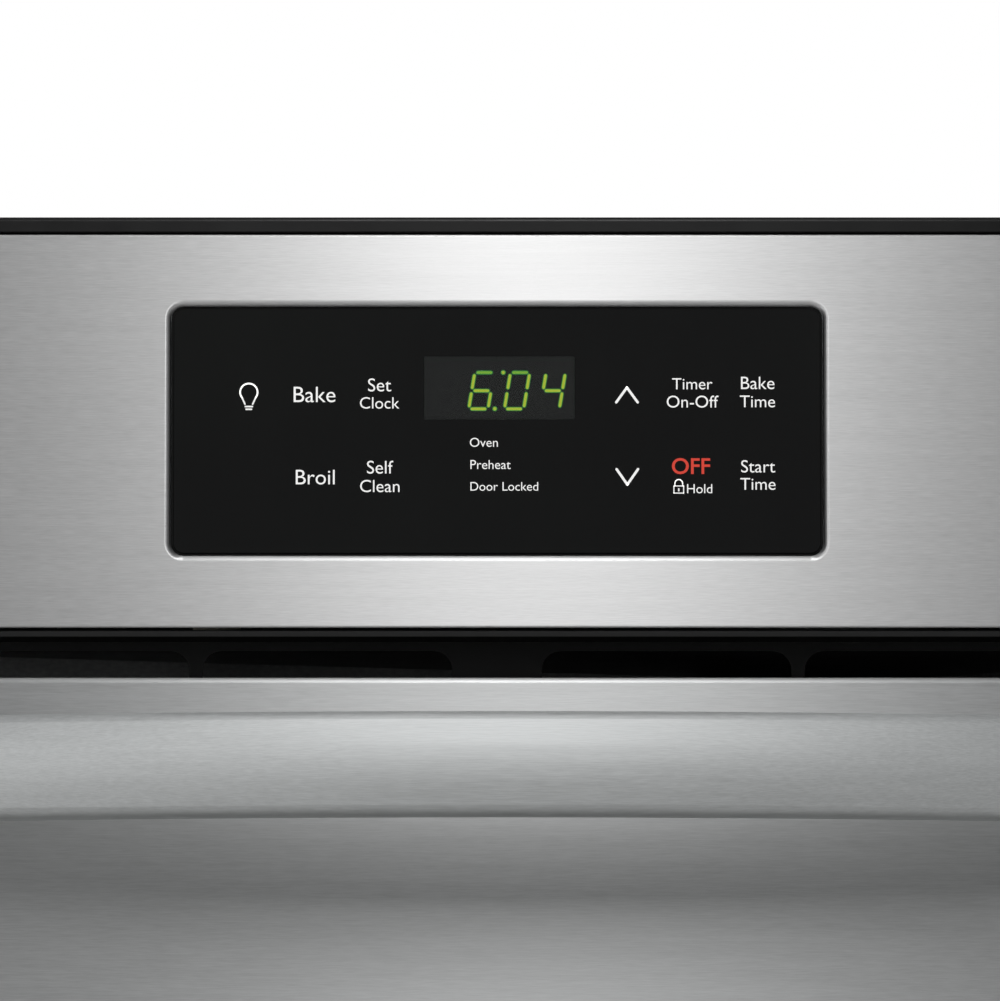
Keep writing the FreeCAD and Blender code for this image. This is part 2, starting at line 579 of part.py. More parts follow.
# ------------------------------------------------------------------ controls
def make_fascia():
    """Brushed fascia with a rolled opening for the touch glass."""
    y0 = FASCIA_Y
    back = -6.0
    shell = box(-FACE_HALF, FACE_HALF, y0, back, FASCIA_Z0, FASCIA_Z1)
    front = [e for e in shell.Edges if all(abs(v.Point.y - y0) < 0.01 for v in e.Vertexes)]
    shell = shell.makeFillet(FASCIA_R, front)
    inside = box(-FACE_HALF + 1, FACE_HALF - 1, y0 + 1, back + 5, FASCIA_Z0 - 5, FASCIA_Z1 - 1)
    hem = box(-FACE_HALF + 1, FACE_HALF - 1, y0 + 0.9, y0 + 2, FASCIA_Z0 + 0.3, FASCIA_Z0 + 8)
    # pull the hem back from the side returns and open the underside
    shell = fuse([shell.cut(inside), hem])
    collar = plate(-THROAT_HALF - 3, THROAT_HALF + 3, THROAT_Z0 - 3, THROAT_Z1 + 3, y0 + 0.5, -48.5,
                   THROAT_R + 3)
    throat = plate(-THROAT_HALF, THROAT_HALF, THROAT_Z0, THROAT_Z1, y0 - 2, -40, THROAT_R)
    body = fuse([shell, collar]).cut(throat)
    rim = [e for e in body.Edges
           if all(abs(v.Point.y - y0) < 0.01 and abs(v.Point.x) < THROAT_HALF + 0.1
                  and THROAT_Z0 - 0.1 < v.Point.z < THROAT_Z1 + 0.1 for v in e.Vertexes)]
    body = body.makeFillet(LIP_R, rim)
    relief = plate(-THROAT_HALF - 4, THROAT_HALF + 4, THROAT_Z0 - 4, THROAT_Z1 + 4, y0 + 1, -48, THROAT_R + 4)
    keep = plate(-THROAT_HALF - 1, THROAT_HALF + 1, THROAT_Z0 - 1, THROAT_Z1 + 1, y0, -47, THROAT_R + 1)
    relief = relief.cut(keep)
    inner = [e for e in relief.Edges
             if all(abs(v.Point.y - y0 - 1) < 0.01 and abs(v.Point.x) < THROAT_HALF + 1.1
                    and THROAT_Z0 - 1.1 < v.Point.z < THROAT_Z1 + 1.1 for v in e.Vertexes)]
    relief = relief.makeFillet(0.9, inner)
    add("control_fascia", body.cut(relief))


def make_controls():
    """Touch glass, clock lens, display, board and the housing that holds them."""
    gap = GLASS_GAP
    glass = plate(-THROAT_HALF + gap, THROAT_HALF - gap, THROAT_Z0 + gap, THROAT_Z1 - gap,
                  -50.3, -47.3, THROAT_R - gap)
    window = plate(WINDOW_X0, WINDOW_X1, WINDOW_Z0, WINDOW_Z1, -52, -46, 0.8)
    add("touch_glass", glass.cut(window))
    add("display_lens", plate(WINDOW_X0 + 0.1, WINDOW_X1 - 0.1, WINDOW_Z0 + 0.1, WINDOW_Z1 - 0.1,
                              -50.3, -48.6, 0.7))
    mid_x = (WINDOW_X0 + WINDOW_X1) / 2
    mid_z = (WINDOW_Z0 + WINDOW_Z1) / 2
    module = box(mid_x - 25.6, mid_x + 25.6, -47.2, -39.5, mid_z - 9.6, mid_z + 9.6)
    pins = []
    for k in range(12):
        for dz in (-7.6, 7.6):
            x = mid_x - 22 + k * 4
            pins.append(box(x - 0.3, x + 0.3, -40, -36.4, mid_z + dz - 0.3, mid_z + dz + 0.3))
    add("display_module", fuse([module] + pins))

    board = box(-100, 100, -39.4, -37.8, 624, 700)
    parts = [box(-90 + k * 24, -71 + k * 24, -38, -22, 634, 649.5) for k in range(5)]
    parts.append(box(50, 88, -38, -10, 645, 677))
    parts += [rod((-84 + k * 16, -38, 668), (-84 + k * 16, -22, 668), 5) for k in range(2)]
    parts += [box(-52, -12, -38, -29, 688, 697), box(52, 92, -38, -27, 684, 695)]
    cells = []
    for k in range(12):
        for dz in (-7.6, 7.6):
            x = mid_x - 22 + k * 4
            cells.append(box(x - 0.5, x + 0.5, -42, -30, mid_z + dz - 0.5, mid_z + dz + 0.5))
    corner_holes = [rod((sx * 95, -45, z), (sx * 95, -30, z), 1.7) for sx in (-1, 1) for z in (629, 695)]
    add("control_board", cut(fuse([board] + parts), cells + corner_holes))

    z0, z1, half = 597.0, 728.0, 376.0
    shell = box(-half, half, -49.9, 0, z0, z1).cut(box(-half + 1, half - 1, -52, -1, z0 + 1, z1 - 1))
    shelf = plate(-121, 121, 612, 712, -47.3, -46.3, 6).cut(plate(-107, 107, 626, 698, -50, -40, 3))
    posts = [rod((sx * 114, -46.8, z), (sx * 114, -0.5, z), 3.5) for sx in (-1, 1) for z in (619, 705)]
    posts += [rod((sx * 95, -37.8, z), (sx * 95, -0.5, z), 2.6) for sx in (-1, 1) for z in (629, 695)]
    slots = []
    for sx in (-1, 1):
        for row in range(5):
            z = 620 + row * 9
            slots.append(box(sx * 220 - 50, sx * 220 + 50, -2, 1, z, z + 4))
    add("control_housing", cut(fuse([shell, shelf] + posts), slots))


# ---------------------------------------------------------------------- door
def arm_slots(y0, y1, z0, z1):
    """Openings that the hinge arms, crank pins and yokes pass through."""
    return both(box(343, 356.2, y0, y1, z0, z1))


def make_door_skin():
    """Outer door tray with its window and the holes for hinges, latch and screws."""
    def tray(x, y0, z0, z1, r):
        body = box(-x, x, y0, -10.5, z0, z1)
        return body.makeFillet(r, [e for e in body.Edges
                                   if all(abs(v.Point.y - y0) < 0.01 for v in e.Vertexes)])
    outer = tray(FACE_HALF, DOOR_Y, DOOR_Z0, DOOR_Z1, DOOR_SHEET_R)
    inner = tray(FACE_HALF - 1, DOOR_Y + 1, DOOR_Z0 + 1, DOOR_Z1 - 1, DOOR_SHEET_R - 1)
    lip = box(-FACE_HALF + 0.5, FACE_HALF - 0.5, -11.5, -10.5, DOOR_Z0 + 0.5, DOOR_Z1 - 0.5).cut(
        box(-366, 366, -13, -9, 63, 562.5))
    body = fuse([outer.cut(inner), lip])
    tools = [plate(-WIN_HALF, WIN_HALF, WIN_Z0, WIN_Z1, -60, -45, 10)]
    tools += arm_slots(-43.5, -9, 49, 69.5)
    tools.append(box(-15.5, 16, -12, -9, 552.5, 563.5))
    for x, z in door_screw_points():
        tools.append(rod((x, -13, z), (x, -9, z), 2.1))
    for x, z in handle_screw_points():
        tools.append(rod((x, -55, z), (x, -50, z), 2.2))
    add("door_skin", cut(body, tools))


def door_screw_points():
    """Places (x, z) of the screws round the edge of the door."""
    top = [(sx * x, 569.0) for sx in (-1, 1) for x in (60, 180, 300)]
    bottom = [(sx * x, 57.0) for sx in (-1, 1) for x in (60, 180, 300)]
    side = [(sx * 372, z) for sx in (-1, 1) for z in (150.0, 300.0, 450.0)]
    return top + bottom + side


def handle_screw_points():
    """Places (x, z) of the screws behind the handle elbows."""
    middle = HANDLE_MID_Z - HANDLE_RISE
    return [(sx * 343.5, middle + dz) for sx in (-1, 1) for dz in (-9, 9)]


def make_door_glazing():
    """Outer door glass and the framed inner panes."""
    add("door_glass", plate(-272, 272, 148, 472, DOOR_Y + 1, DOOR_Y + 5, 6))
    tunnel = box(-262, 262, -48.4, 0.2, 158, 462).cut(box(-261, 261, -50, 2, 159, 461))
    ledges = []
    for y in (-33.9, -17.9):
        ledges.append(box(-261.5, 261.5, y, y + 1, 158.5, 461.5).cut(box(-254, 254, y - 1, y + 2, 166, 454)))
    add("window_frame", fuse([tunnel] + ledges))
    panes = [box(-260.6, 260.6, -37, -34, 159.4, 460.6), box(-260.6, 260.6, -21, -18, 159.4, 460.6),
             box(-252, 252, 0.3, 3.7, 173, 447)]
    add("window_panes", group(panes))


def make_door_liner():
    """Inner door panel with its raised plug, and the fibre pad behind it."""
    flange = box(-FACE_HALF, FACE_HALF, -10.5, DOOR_BACK, DOOR_Z0, DOOR_Z1)
    outer = plate(-PLUG_HALF, PLUG_HALF, PLUG_Z0, PLUG_Z1, -10.5, PLUG_Y, 20)
    face = [e for e in outer.Edges if all(abs(v.Point.y - PLUG_Y) < 0.01 for v in e.Vertexes)]
    outer = outer.makeFillet(5, face)
    inner = plate(-PLUG_HALF + 1, PLUG_HALF - 1, PLUG_Z0 + 1, PLUG_Z1 - 1, -12, PLUG_Y - 1, 19)
    face = [e for e in inner.Edges if all(abs(v.Point.y - PLUG_Y + 1) < 0.01 for v in e.Vertexes)]
    inner = inner.makeFillet(4, face)
    body = fuse([flange, outer]).cut(inner)
    tools = [plate(-235, 235, 190, 430, -5, 10, 8)]
    tools += arm_slots(-12, -8, 49, 69.5)
    tools.append(box(-15, 15.5, -12, -8, 553, 563))
    for x, z in door_screw_points():
        tools.append(rod((x, -13, z), (x, -8, z), 2.1))
    add("door_liner", cut(body, tools))
    pad = box(-335, 335, -47.6, -11.0, 75, 545).cut(box(-262.6, 262.6, -60, 0, 157.4, 462.6))
    add("door_insulation", pad)


def handle_section(x, y, z, along):
    """Closed section of the handle bar at a point, square to the way it runs."""
    out = V(along.y, -along.x, 0).normalize()
    half_h, half_d = HANDLE_H / 2, HANDLE_D / 2

    def point(depth, height):
        return V(x, y, z) + out * depth + V(0, 0, height)
    bulge = 4.0
    top, bottom = point(half_d - bulge, half_h), point(half_d - bulge, -half_h)
    back_top, back_bottom = point(-half_d, half_h), point(-half_d, -half_h)
    return Part.Wire([
        Part.Arc(bottom, point(half_d, 0), top).toShape(),
        Part.makeLine(top, back_top),
        Part.makeLine(back_top, back_bottom),
        Part.makeLine(back_bottom, bottom)])


def revolve_section(wire, centre, degrees):
    """Solid from a section turned about an upright axis."""
    return Part.Face(wire).revolve(V(*centre), V(0, 0, 1), degrees)


def round_long_edges(solid, radius):
    """Round the edges that run along a bar, not those of its end faces."""
    long = [e for e in solid.Edges if isinstance(e.Curve, Part.Circle)
            and abs(e.Curve.Axis.z) > 0.99]
    return solid.makeFillet(radius, long)


def make_handle():
    """Bowed tube handle and the two elbows that carry it."""
    z = HANDLE_MID_Z - HANDLE_RISE
    bow_r = (HANDLE_HALF ** 2 + HANDLE_BOW ** 2) / (2 * HANDLE_BOW)
    centre_y = HANDLE_END_Y - HANDLE_BOW + bow_r
    swing = math.degrees(math.asin(HANDLE_HALF / bow_r))
    a = math.radians(swing)
    start_way = V(math.cos(a), -math.sin(a), 0)
    end_way = V(math.cos(a), math.sin(a), 0)
    outer = revolve_section(handle_section(-HANDLE_HALF, HANDLE_END_Y, z, start_way),
                            (0, centre_y, z), 2 * swing)
    outer = round_long_edges(outer, 5.0)
    wall = HANDLE_WALL
    inner_box = []
    for depth, height in ((HANDLE_D / 2 - 4.2 - wall, HANDLE_H / 2 - wall),
                          (-HANDLE_D / 2 + wall, HANDLE_H / 2 - wall),
                          (-HANDLE_D / 2 + wall, -HANDLE_H / 2 + wall),
                          (HANDLE_D / 2 - 4.2 - wall, -HANDLE_H / 2 + wall)):
        out = V(start_way.y, -start_way.x, 0)
        inner_box.append(V(-HANDLE_HALF, HANDLE_END_Y, z) + out * depth + V(0, 0, height))
    inner = revolve_section(Part.makePolygon(inner_box + inner_box[:1]), (0, centre_y, z), 2 * swing)
    inner = round_long_edges(inner, 3.5)
    bar = outer.cut(inner)

    inward = V(-end_way.y, end_way.x, 0)
    elbow_c = V(HANDLE_HALF, HANDLE_END_Y, z) + inward * ELBOW_R
    elbow = revolve_section(handle_section(HANDLE_HALF, HANDLE_END_Y, z, end_way),
                            (elbow_c.x, elbow_c.y, z), 90 - swing)
    elbow = round_long_edges(elbow, 5.0)
    tilt = -math.degrees(math.asin(HANDLE_RISE / HANDLE_BOW))
    for shape in (bar, elbow):
        shape.rotate(V(0, HANDLE_END_Y, z), V(1, 0, 0), tilt)
    beyond = box(250, 450, DOOR_Y, 50, z - 80, z + 80)
    screws = [rod((343.5, -62, pz), (343.5, -50, pz), 2.0) for px, pz in handle_screw_points() if px > 0]
    add("door_handle", bar)
    post = elbow.cut(beyond)
    add("handle_post_right", cut(post, screws))
    add("handle_post_left", mirror(cut(post, screws)))


def make_door_screws():
    """Screws that hold the liner and the handle elbows."""
    screws = []
    for x, z in door_screw_points():
        screws.append(pan_screw((x, DOOR_BACK, z), (0, -1, 0), 3.6, 1.9, 1.9, 8))
    for x, z in handle_screw_points():
        screws.append(pan_screw((x, DOOR_Y + 1, z), (0, -1, 0), 3.6, 2.2, 1.85, 6.5))
    add("door_screws", group(screws))


def make_chassis_screws():
    """Screws of the liner flange and of the back panel."""
    screws = []
    for sx in (-1, 1):
        for z in LINER_SCREW_Z:
            screws.append(pan_screw((sx * LINER_SCREW_X, -FRAME_T, z), (0, 1, 0), 3.6, 1.9, 1.85, 9))
        for z in PANEL_SCREW_Z:
            screws.append(pan_screw((sx * PANEL_SCREW_X, BODY_DEPTH, z), (0, -1, 0), 3.6, 1.9, 1.85, 9))
    add("chassis_screws", group(screws))


# -------------------------------------------------------------------- hinges
def make_hinges():
    """Hinge pairs: arm, receiver, channel, pull rod and spring."""
    y, z = HINGE_Y, HINGE_Z
    x0, x1 = HINGE_X - 2.5, HINGE_X + 2.5
    crank = (y + CRANK, z + CRANK)

    def disc(yy, zz, r, a=x0, b=x1):
        return rod((a, yy, zz), (b, yy, zz), r)
    web = Part.makePolygon([V(x0, y + dy, z + dz) for dy, dz in
                            ((-3.9, 3.9), (6, 13.8), (13.8, 6), (3.9, -3.9), (-3.9, 3.9))])
    web = Part.Face(web).extrude(V(x1 - x0, 0, 0))
    arm = fuse([disc(y, z, 9), disc(*crank, 5.5), web, box(x0, x1, y, 52, z - 6, z + 6),
                disc(*crank, 3.0, x1 - 0.5, x1 + 4)])
    notch = disc(38, z - 6, 3.0 + RUN_GAP, x0 - 1, x1 + 1)
    add_pair("hinge_arm", cut(arm, [disc(y, z, HINGE_PIN_R + RUN_GAP, x0 - 1, x1 + 1), notch]))

    outside = box(340, 357, 1.4, 60, 48.5, 82)
    hollow = box(341.2, 355.8, -1, 58.8, 49.7, 80.8)
    opening = box(343, 354, 0, 4, 51, 76)
    receiver = fuse([outside.cut(hollow).cut(opening), disc(38, z - 6, 3.0, 340.5, 356.5)])
    add_pair("hinge_receiver", receiver)

    top = 354.0
    channel = box(339.5, 357.5, -46, -11.6, 54, top).cut(box(341, 356, -44.5, -5, 50, top - 1.5))
    stop = box(340.5, 356.5, -45, -12, 106, 109.6)
    pin = disc(y, z, HINGE_PIN_R, 340, 357)
    rod_y = -28.0
    guide = rod((HINGE_X, rod_y, 100), (HINGE_X, rod_y, 115), 2.5 + RUN_GAP)
    add_pair("hinge_channel", fuse([channel, stop, pin]).cut(guide))

    cz = crank[1]
    yoke = fuse([
        box(352, 354.5, -28.7, -13.2, cz - 7.5, 100),
        box(346, 354.5, -30.5, -13.2, 97, 100),
        rod((HINGE_X, rod_y, 98), (HINGE_X, rod_y, 338), 2.5),
        rod((HINGE_X, rod_y, 330), (HINGE_X, rod_y, 334), 6.4)])
    slot = box(351, 356, -27.0, -15.3, cz - 3.8, cz + 3.8)
    add_pair("hinge_rod", cut(yoke, [slot]))

    low, high, wire_r, coil_r, turns = 109.9, 329.7, 0.9, 5.0, 26
    span = high - low - 2 * wire_r
    pitch = span / turns
    helix = Part.makeHelix(pitch, span, coil_r)
    ring = Part.Wire(Part.makeCircle(wire_r, V(coil_r, 0, 0), V(0, 1, pitch / (2 * math.pi * coil_r))))
    coil = Part.Wire(helix.Edges).makePipeShell([ring], True, True)
    coil.translate(V(HINGE_X, rod_y, low + wire_r))
    add_pair("hinge_spring", coil)


def main():
    make_body()
    make_front_frame()
    make_vent_grille()
    make_trims()
    make_cavity()
    make_elements()
    make_lamp()
    make_gasket()
    add("rack_lower", make_rack(LOWER_RACK))
    add("rack_upper", make_rack(UPPER_RACK))
    make_latch()
    make_cooling()
    make_switch()
    make_conduit()
    make_fascia()
    make_controls()
    make_door_skin()
    make_door_glazing()
    make_door_liner()
    make_handle()
    make_door_screws()
    make_chassis_screws()
    make_hinges()
    os.makedirs("parts", exist_ok=True)
    for name, shape in PARTS.items():
        shape.exportStep("parts/" + name + ".step")
    print(len(PARTS), "parts")


main()
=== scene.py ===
"""Looks of a built-in electric wall oven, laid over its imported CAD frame.

Everything is in metres in the frame of the CAD model: x runs across the front,
-y out of it and z up.
"""
import math

import bmesh
import bpy
from mathutils import Matrix, Vector, noise


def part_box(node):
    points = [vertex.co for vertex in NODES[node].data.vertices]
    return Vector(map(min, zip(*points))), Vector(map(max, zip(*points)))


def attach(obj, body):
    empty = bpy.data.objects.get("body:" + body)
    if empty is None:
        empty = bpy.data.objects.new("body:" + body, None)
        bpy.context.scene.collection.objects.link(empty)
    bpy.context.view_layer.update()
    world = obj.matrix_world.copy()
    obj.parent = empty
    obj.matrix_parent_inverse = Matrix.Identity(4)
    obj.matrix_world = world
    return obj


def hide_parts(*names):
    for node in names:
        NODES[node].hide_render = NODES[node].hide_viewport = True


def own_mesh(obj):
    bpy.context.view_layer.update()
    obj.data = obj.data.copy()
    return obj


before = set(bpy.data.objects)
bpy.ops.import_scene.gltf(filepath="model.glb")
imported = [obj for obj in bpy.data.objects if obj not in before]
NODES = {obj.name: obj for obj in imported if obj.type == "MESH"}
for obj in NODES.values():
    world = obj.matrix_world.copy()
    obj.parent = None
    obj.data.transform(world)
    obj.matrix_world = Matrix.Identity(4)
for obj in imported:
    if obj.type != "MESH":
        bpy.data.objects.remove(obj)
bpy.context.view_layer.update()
MM = 0.001


# ---------------------------------------------------------------- small tools
def linear(code):
    """An sRGB hex colour as linear RGBA."""
    out = []
    for k in (1, 3, 5):
        c = int(code[k:k + 2], 16) / 255
        out.append(c / 12.92 if c <= 0.04045 else ((c + 0.055) / 1.055) ** 2.4)
    return (*out, 1.0)


def put(tree, kind, values=None, links=None, stops=(), **settings):
    """Add a node, set its settings, sockets and ramp stops, and link what feeds it."""
    made = tree.nodes.new(kind)
    for key, value in settings.items():
        setattr(made, key, value)
    for key, value in (values or {}).items():
        made.inputs[key].default_value = value
    for key, source in (links or {}).items():
        tree.links.new(source, made.inputs[key])
    if stops:
        elements = made.color_ramp.elements
        while len(elements) < len(stops):
            elements.new(0.5)
        for element, (place, tone) in zip(elements, stops):
            element.position = place
            element.color = linear(tone)
    return made


def texture(tree, coords, kind, size_mm, values=None, start=(0, 0, 0)):
    """A texture whose features have real sizes along x, y and z, in millimetres."""
    sized = put(tree, "ShaderNodeMapping", {"Scale": [1000 / s for s in size_mm], "Location": start},
                {"Vector": coords})
    return put(tree, kind, {"Scale": 1.0, **(values or {})}, {"Vector": sized.outputs[0]})


def finish(name, recipe, **details):
    """A material whose shader takes the values and links that a recipe gives."""
    material = bpy.data.materials.new(name)
    material.use_nodes = True
    tree = material.node_tree
    tree.nodes.clear()
    coords = put(tree, "ShaderNodeTexCoord").outputs["Object"]
    values, links = recipe(tree, coords, **details)
    shader = put(tree, "ShaderNodeBsdfPrincipled", values, links)
    put(tree, "ShaderNodeOutputMaterial", links={"Surface": shader.outputs[0]})
    return material


NOISE, CELLS = "ShaderNodeTexNoise", "ShaderNodeTexVoronoi"


# ------------------------------------------------------------------ materials
def brushed_stainless(tree, coords, low, high, roughness, drawn, streak_mm):
    """304 stainless, belt-brushed along its length.

    The belt leaves short level scratches, so a light is drawn out up and down the sheet
    and the face shows fine streaks. The real scratches are under 0.1 mm apart; they
    are drawn about three times as coarse so that they show.
    """
    fine = texture(tree, coords, NOISE, (streak_mm, 0.34, 0.34), {"Detail": 3.0, "Roughness": 0.6})
    broad = texture(tree, coords, NOISE, (90, 4, 2.2), {"Detail": 2.0}, (3, 1, 7))
    both = put(tree, "ShaderNodeMath", {1: 0.30}, {0: broad.outputs["Fac"], 2: fine.outputs["Fac"]},
               operation="MULTIPLY_ADD").outputs[0]
    colour = put(tree, "ShaderNodeValToRGB", links={"Fac": both}, stops=((0.42, low), (0.88, high)))
    gloss = put(tree, "ShaderNodeMapRange",
                {"From Min": 0.3, "From Max": 0.7, "To Min": roughness - 0.03, "To Max": roughness + 0.03},
                {"Value": fine.outputs["Fac"]})
    normal = put(tree, "ShaderNodeBump", {"Strength": 0.45, "Distance": 0.010 * MM},
                 {"Height": fine.outputs["Fac"]})
    # the tangent lies along the brushing; it is tipped a little so that no face is square to it
    along = put(tree, "ShaderNodeCombineXYZ", {"X": 1.0, "Y": 0.02, "Z": 0.013})
    return ({"Metallic": 1.0, "Anisotropic": drawn, "Anisotropic Rotation": 0.25},
            {"Base Color": colour.outputs[0], "Roughness": gloss.outputs[0],
             "Normal": normal.outputs[0], "Tangent": along.outputs[0]})


def galvanised_sheet(tree, coords):
    """Hot-dip galvanised steel: grey zinc frozen in crystals about 11 mm across."""
    bent = texture(tree, coords, NOISE, (9, 9, 9))
    shift = put(tree, "ShaderNodeVectorMath", {1: (0.0035, 0.0035, 0.0035)}, {0: bent.outputs["Color"]},
                operation="MULTIPLY")
    moved = put(tree, "ShaderNodeVectorMath", links={0: coords, 1: shift.outputs[0]}, operation="ADD")
    crystal = texture(tree, moved.outputs[0], CELLS, (11, 11, 11)).outputs["Color"]
    colour = put(tree, "ShaderNodeValToRGB", links={"Fac": crystal},
                 stops=((0.1, "#8f9496"), (0.5, "#a3a8aa"), (0.95, "#bcc0c1")))
    gloss = put(tree, "ShaderNodeMapRange", {"To Min": 0.34, "To Max": 0.56}, {"Value": crystal})
    scuff = texture(tree, coords, NOISE, (35, 35, 4), {"Detail": 4.0, "Roughness": 0.65})
    normal = put(tree, "ShaderNodeBump", {"Strength": 0.25, "Distance": 0.05 * MM},
                 {"Height": scuff.outputs["Fac"]})
    return ({"Metallic": 0.92},
            {"Base Color": colour.outputs[0], "Roughness": gloss.outputs[0], "Normal": normal.outputs[0]})


def rolled_metal(tree, coords, tones, size_mm, roughness, metallic=1.0, depth=0.02):
    """Plain mill or plated metal: tone wanders over its grain and the grain catches light."""
    rolled = texture(tree, coords, NOISE, size_mm, {"Detail": 3.0}).outputs["Fac"]
    places = (0.3, 0.55, 0.75)
    colour = put(tree, "ShaderNodeValToRGB", links={"Fac": rolled}, stops=tuple(zip(places, tones)))
    fine = texture(tree, coords, NOISE, (0.8, 0.8, 0.8)).outputs["Fac"]
    gloss = put(tree, "ShaderNodeMapRange",
                {"From Min": 0.3, "From Max": 0.7, "To Min": roughness - 0.07, "To Max": roughness + 0.07},
                {"Value": fine})
    normal = put(tree, "ShaderNodeBump", {"Strength": 0.3, "Distance": depth * MM}, {"Height": fine})
    return ({"Metallic": metallic},
            {"Base Color": colour.outputs[0], "Roughness": gloss.outputs[0], "Normal": normal.outputs[0]})


def porcelain_enamel(tree, coords):
    """Fired porcelain enamel on steel: near-black blue with pale specks under a glassy face."""
    specks = texture(tree, coords, CELLS, (4.2, 4.2, 4.2))
    size = texture(tree, coords, NOISE, (3.1, 3.1, 3.1), {"Detail": 1.0})
    limit = put(tree, "ShaderNodeMapRange",
                {"From Min": 0.42, "From Max": 0.75, "To Min": 0.02, "To Max": 0.26},
                {"Value": size.outputs["Fac"]})
    inside = put(tree, "ShaderNodeMath", links={0: specks.outputs["Distance"], 1: limit.outputs[0]},
                 operation="LESS_THAN")
    tone = texture(tree, coords, NOISE, (60, 60, 60), {"Detail": 3.0})
    ground = put(tree, "ShaderNodeValToRGB", links={"Fac": tone.outputs["Fac"]},
                 stops=((0.3, "#15181f"), (0.7, "#1e222b")))
    colour = put(tree, "ShaderNodeMix", {7: linear("#8d949d")}, {0: inside.outputs[0], 6: ground.outputs[0]},
                 data_type="RGBA")
    peel = texture(tree, coords, NOISE, (2.6, 2.6, 2.6), {"Detail": 1.0})
    normal = put(tree, "ShaderNodeBump", {"Strength": 0.25, "Distance": 0.04 * MM},
                 {"Height": peel.outputs["Fac"]})
    return ({"Roughness": 0.16, "Coat Weight": 0.5, "Coat Roughness": 0.06},
            {"Base Color": colour.outputs[2], "Normal": normal.outputs[0]})


def black_paint(tree, coords, low, high, roughness, peel_mm=0.9, shine=0.45):
    """Stoved black paint: its skin has the slight orange peel of a sprayed coat."""
    peel = texture(tree, coords, NOISE, (peel_mm,) * 3, {"Detail": 1.5})
    dust = texture(tree, coords, NOISE, (26, 26, 26), {"Detail": 4.0, "Roughness": 0.6}, (5, 5, 5))
    colour = put(tree, "ShaderNodeValToRGB", links={"Fac": dust.outputs["Fac"]},
                 stops=((0.35, low), (0.75, high)))
    gloss = put(tree, "ShaderNodeMapRange",
                {"From Min": 0.3, "From Max": 0.7, "To Min": roughness - 0.04, "To Max": roughness + 0.05},
                {"Value": dust.outputs["Fac"]})
    normal = put(tree, "ShaderNodeBump", {"Strength": 0.35, "Distance": 0.02 * MM},
                 {"Height": peel.outputs["Fac"]})
    return ({"Specular IOR Level": shine},
            {"Base Color": colour.outputs[0], "Roughness": gloss.outputs[0], "Normal": normal.outputs[0]})


def back_printed_glass(tree, coords):
    """Soda-lime glass printed black behind: deep black under a clean mirror face."""
    tone = texture(tree, coords, NOISE, (90, 90, 90), {"Detail": 1.0})
    colour = put(tree, "ShaderNodeValToRGB", links={"Fac": tone.outputs["Fac"]},
                 stops=((0.3, "#151515"), (0.7, "#171817")))
    wipe = texture(tree, coords, NOISE, (24, 24, 60), {"Detail": 4.0, "Roughness": 0.6})
    gloss = put(tree, "ShaderNodeMapRange",
                {"From Min": 0.3, "From Max": 0.75, "To Min": 0.05, "To Max": 0.12},
                {"Value": wipe.outputs["Fac"]})
    return {"IOR": 1.52}, {"Base Color": colour.outputs[0], "Roughness": gloss.outputs[0]}


def clear_sheet(tree, coords, tone, passes, ior, roughness, wave_mm=80.0):
    """Glass or clear plastic: its own tint, a faint wipe haze and a slow surface wave."""
    haze = texture(tree, coords, NOISE, (30, 30, 60), {"Detail": 3.0})
    gloss = put(tree, "ShaderNodeMapRange",
                {"From Min": 0.4, "From Max": 0.8, "To Min": roughness, "To Max": roughness + 0.04},
                {"Value": haze.outputs["Fac"]})
    wave = texture(tree, coords, NOISE, (wave_mm,) * 3, {"Detail": 1.0})
    normal = put(tree, "ShaderNodeBump", {"Strength": 0.1, "Distance": 0.05 * MM},
                 {"Height": wave.outputs["Fac"]})
    return ({"Base Color": linear(tone), "Transmission Weight": passes, "IOR": ior},
            {"Roughness": gloss.outputs[0], "Normal": normal.outputs[0]})


def glass_fibre(tree, coords):
    """Unfaced glass-fibre blanket: warm yellow wool of tangled strands laid in thin layers."""
    strand = texture(tree, coords, NOISE, (5, 5, 1.6), {"Detail": 6.0, "Roughness": 0.7, "Distortion": 3.5})
    layer = texture(tree, coords, NOISE, (60, 60, 14), {"Detail": 4.0, "Roughness": 0.6})
    colour = put(tree, "ShaderNodeValToRGB", links={"Fac": strand.outputs["Fac"]},
                 stops=((0.32, "#b79a58"), (0.5, "#d9c383"), (0.7, "#efe2b4")))
    shade = put(tree, "ShaderNodeValToRGB", links={"Fac": layer.outputs["Fac"]},
                stops=((0.35, "#cfc09a"), (0.65, "#ffffff")))
    mixed = put(tree, "ShaderNodeMix", {0: 1.0}, {6: colour.outputs[0], 7: shade.outputs[0]},
                data_type="RGBA", blend_type="MULTIPLY")
    normal = put(tree, "ShaderNodeBump", {"Strength": 0.8, "Distance": 1.2 * MM},
                 {"Height": strand.outputs["Fac"]})
    return ({"Roughness": 0.95, "Sheen Weight": 0.35, "Sheen Roughness": 0.5},
            {"Base Color": mixed.outputs[2], "Normal": normal.outputs[0]})


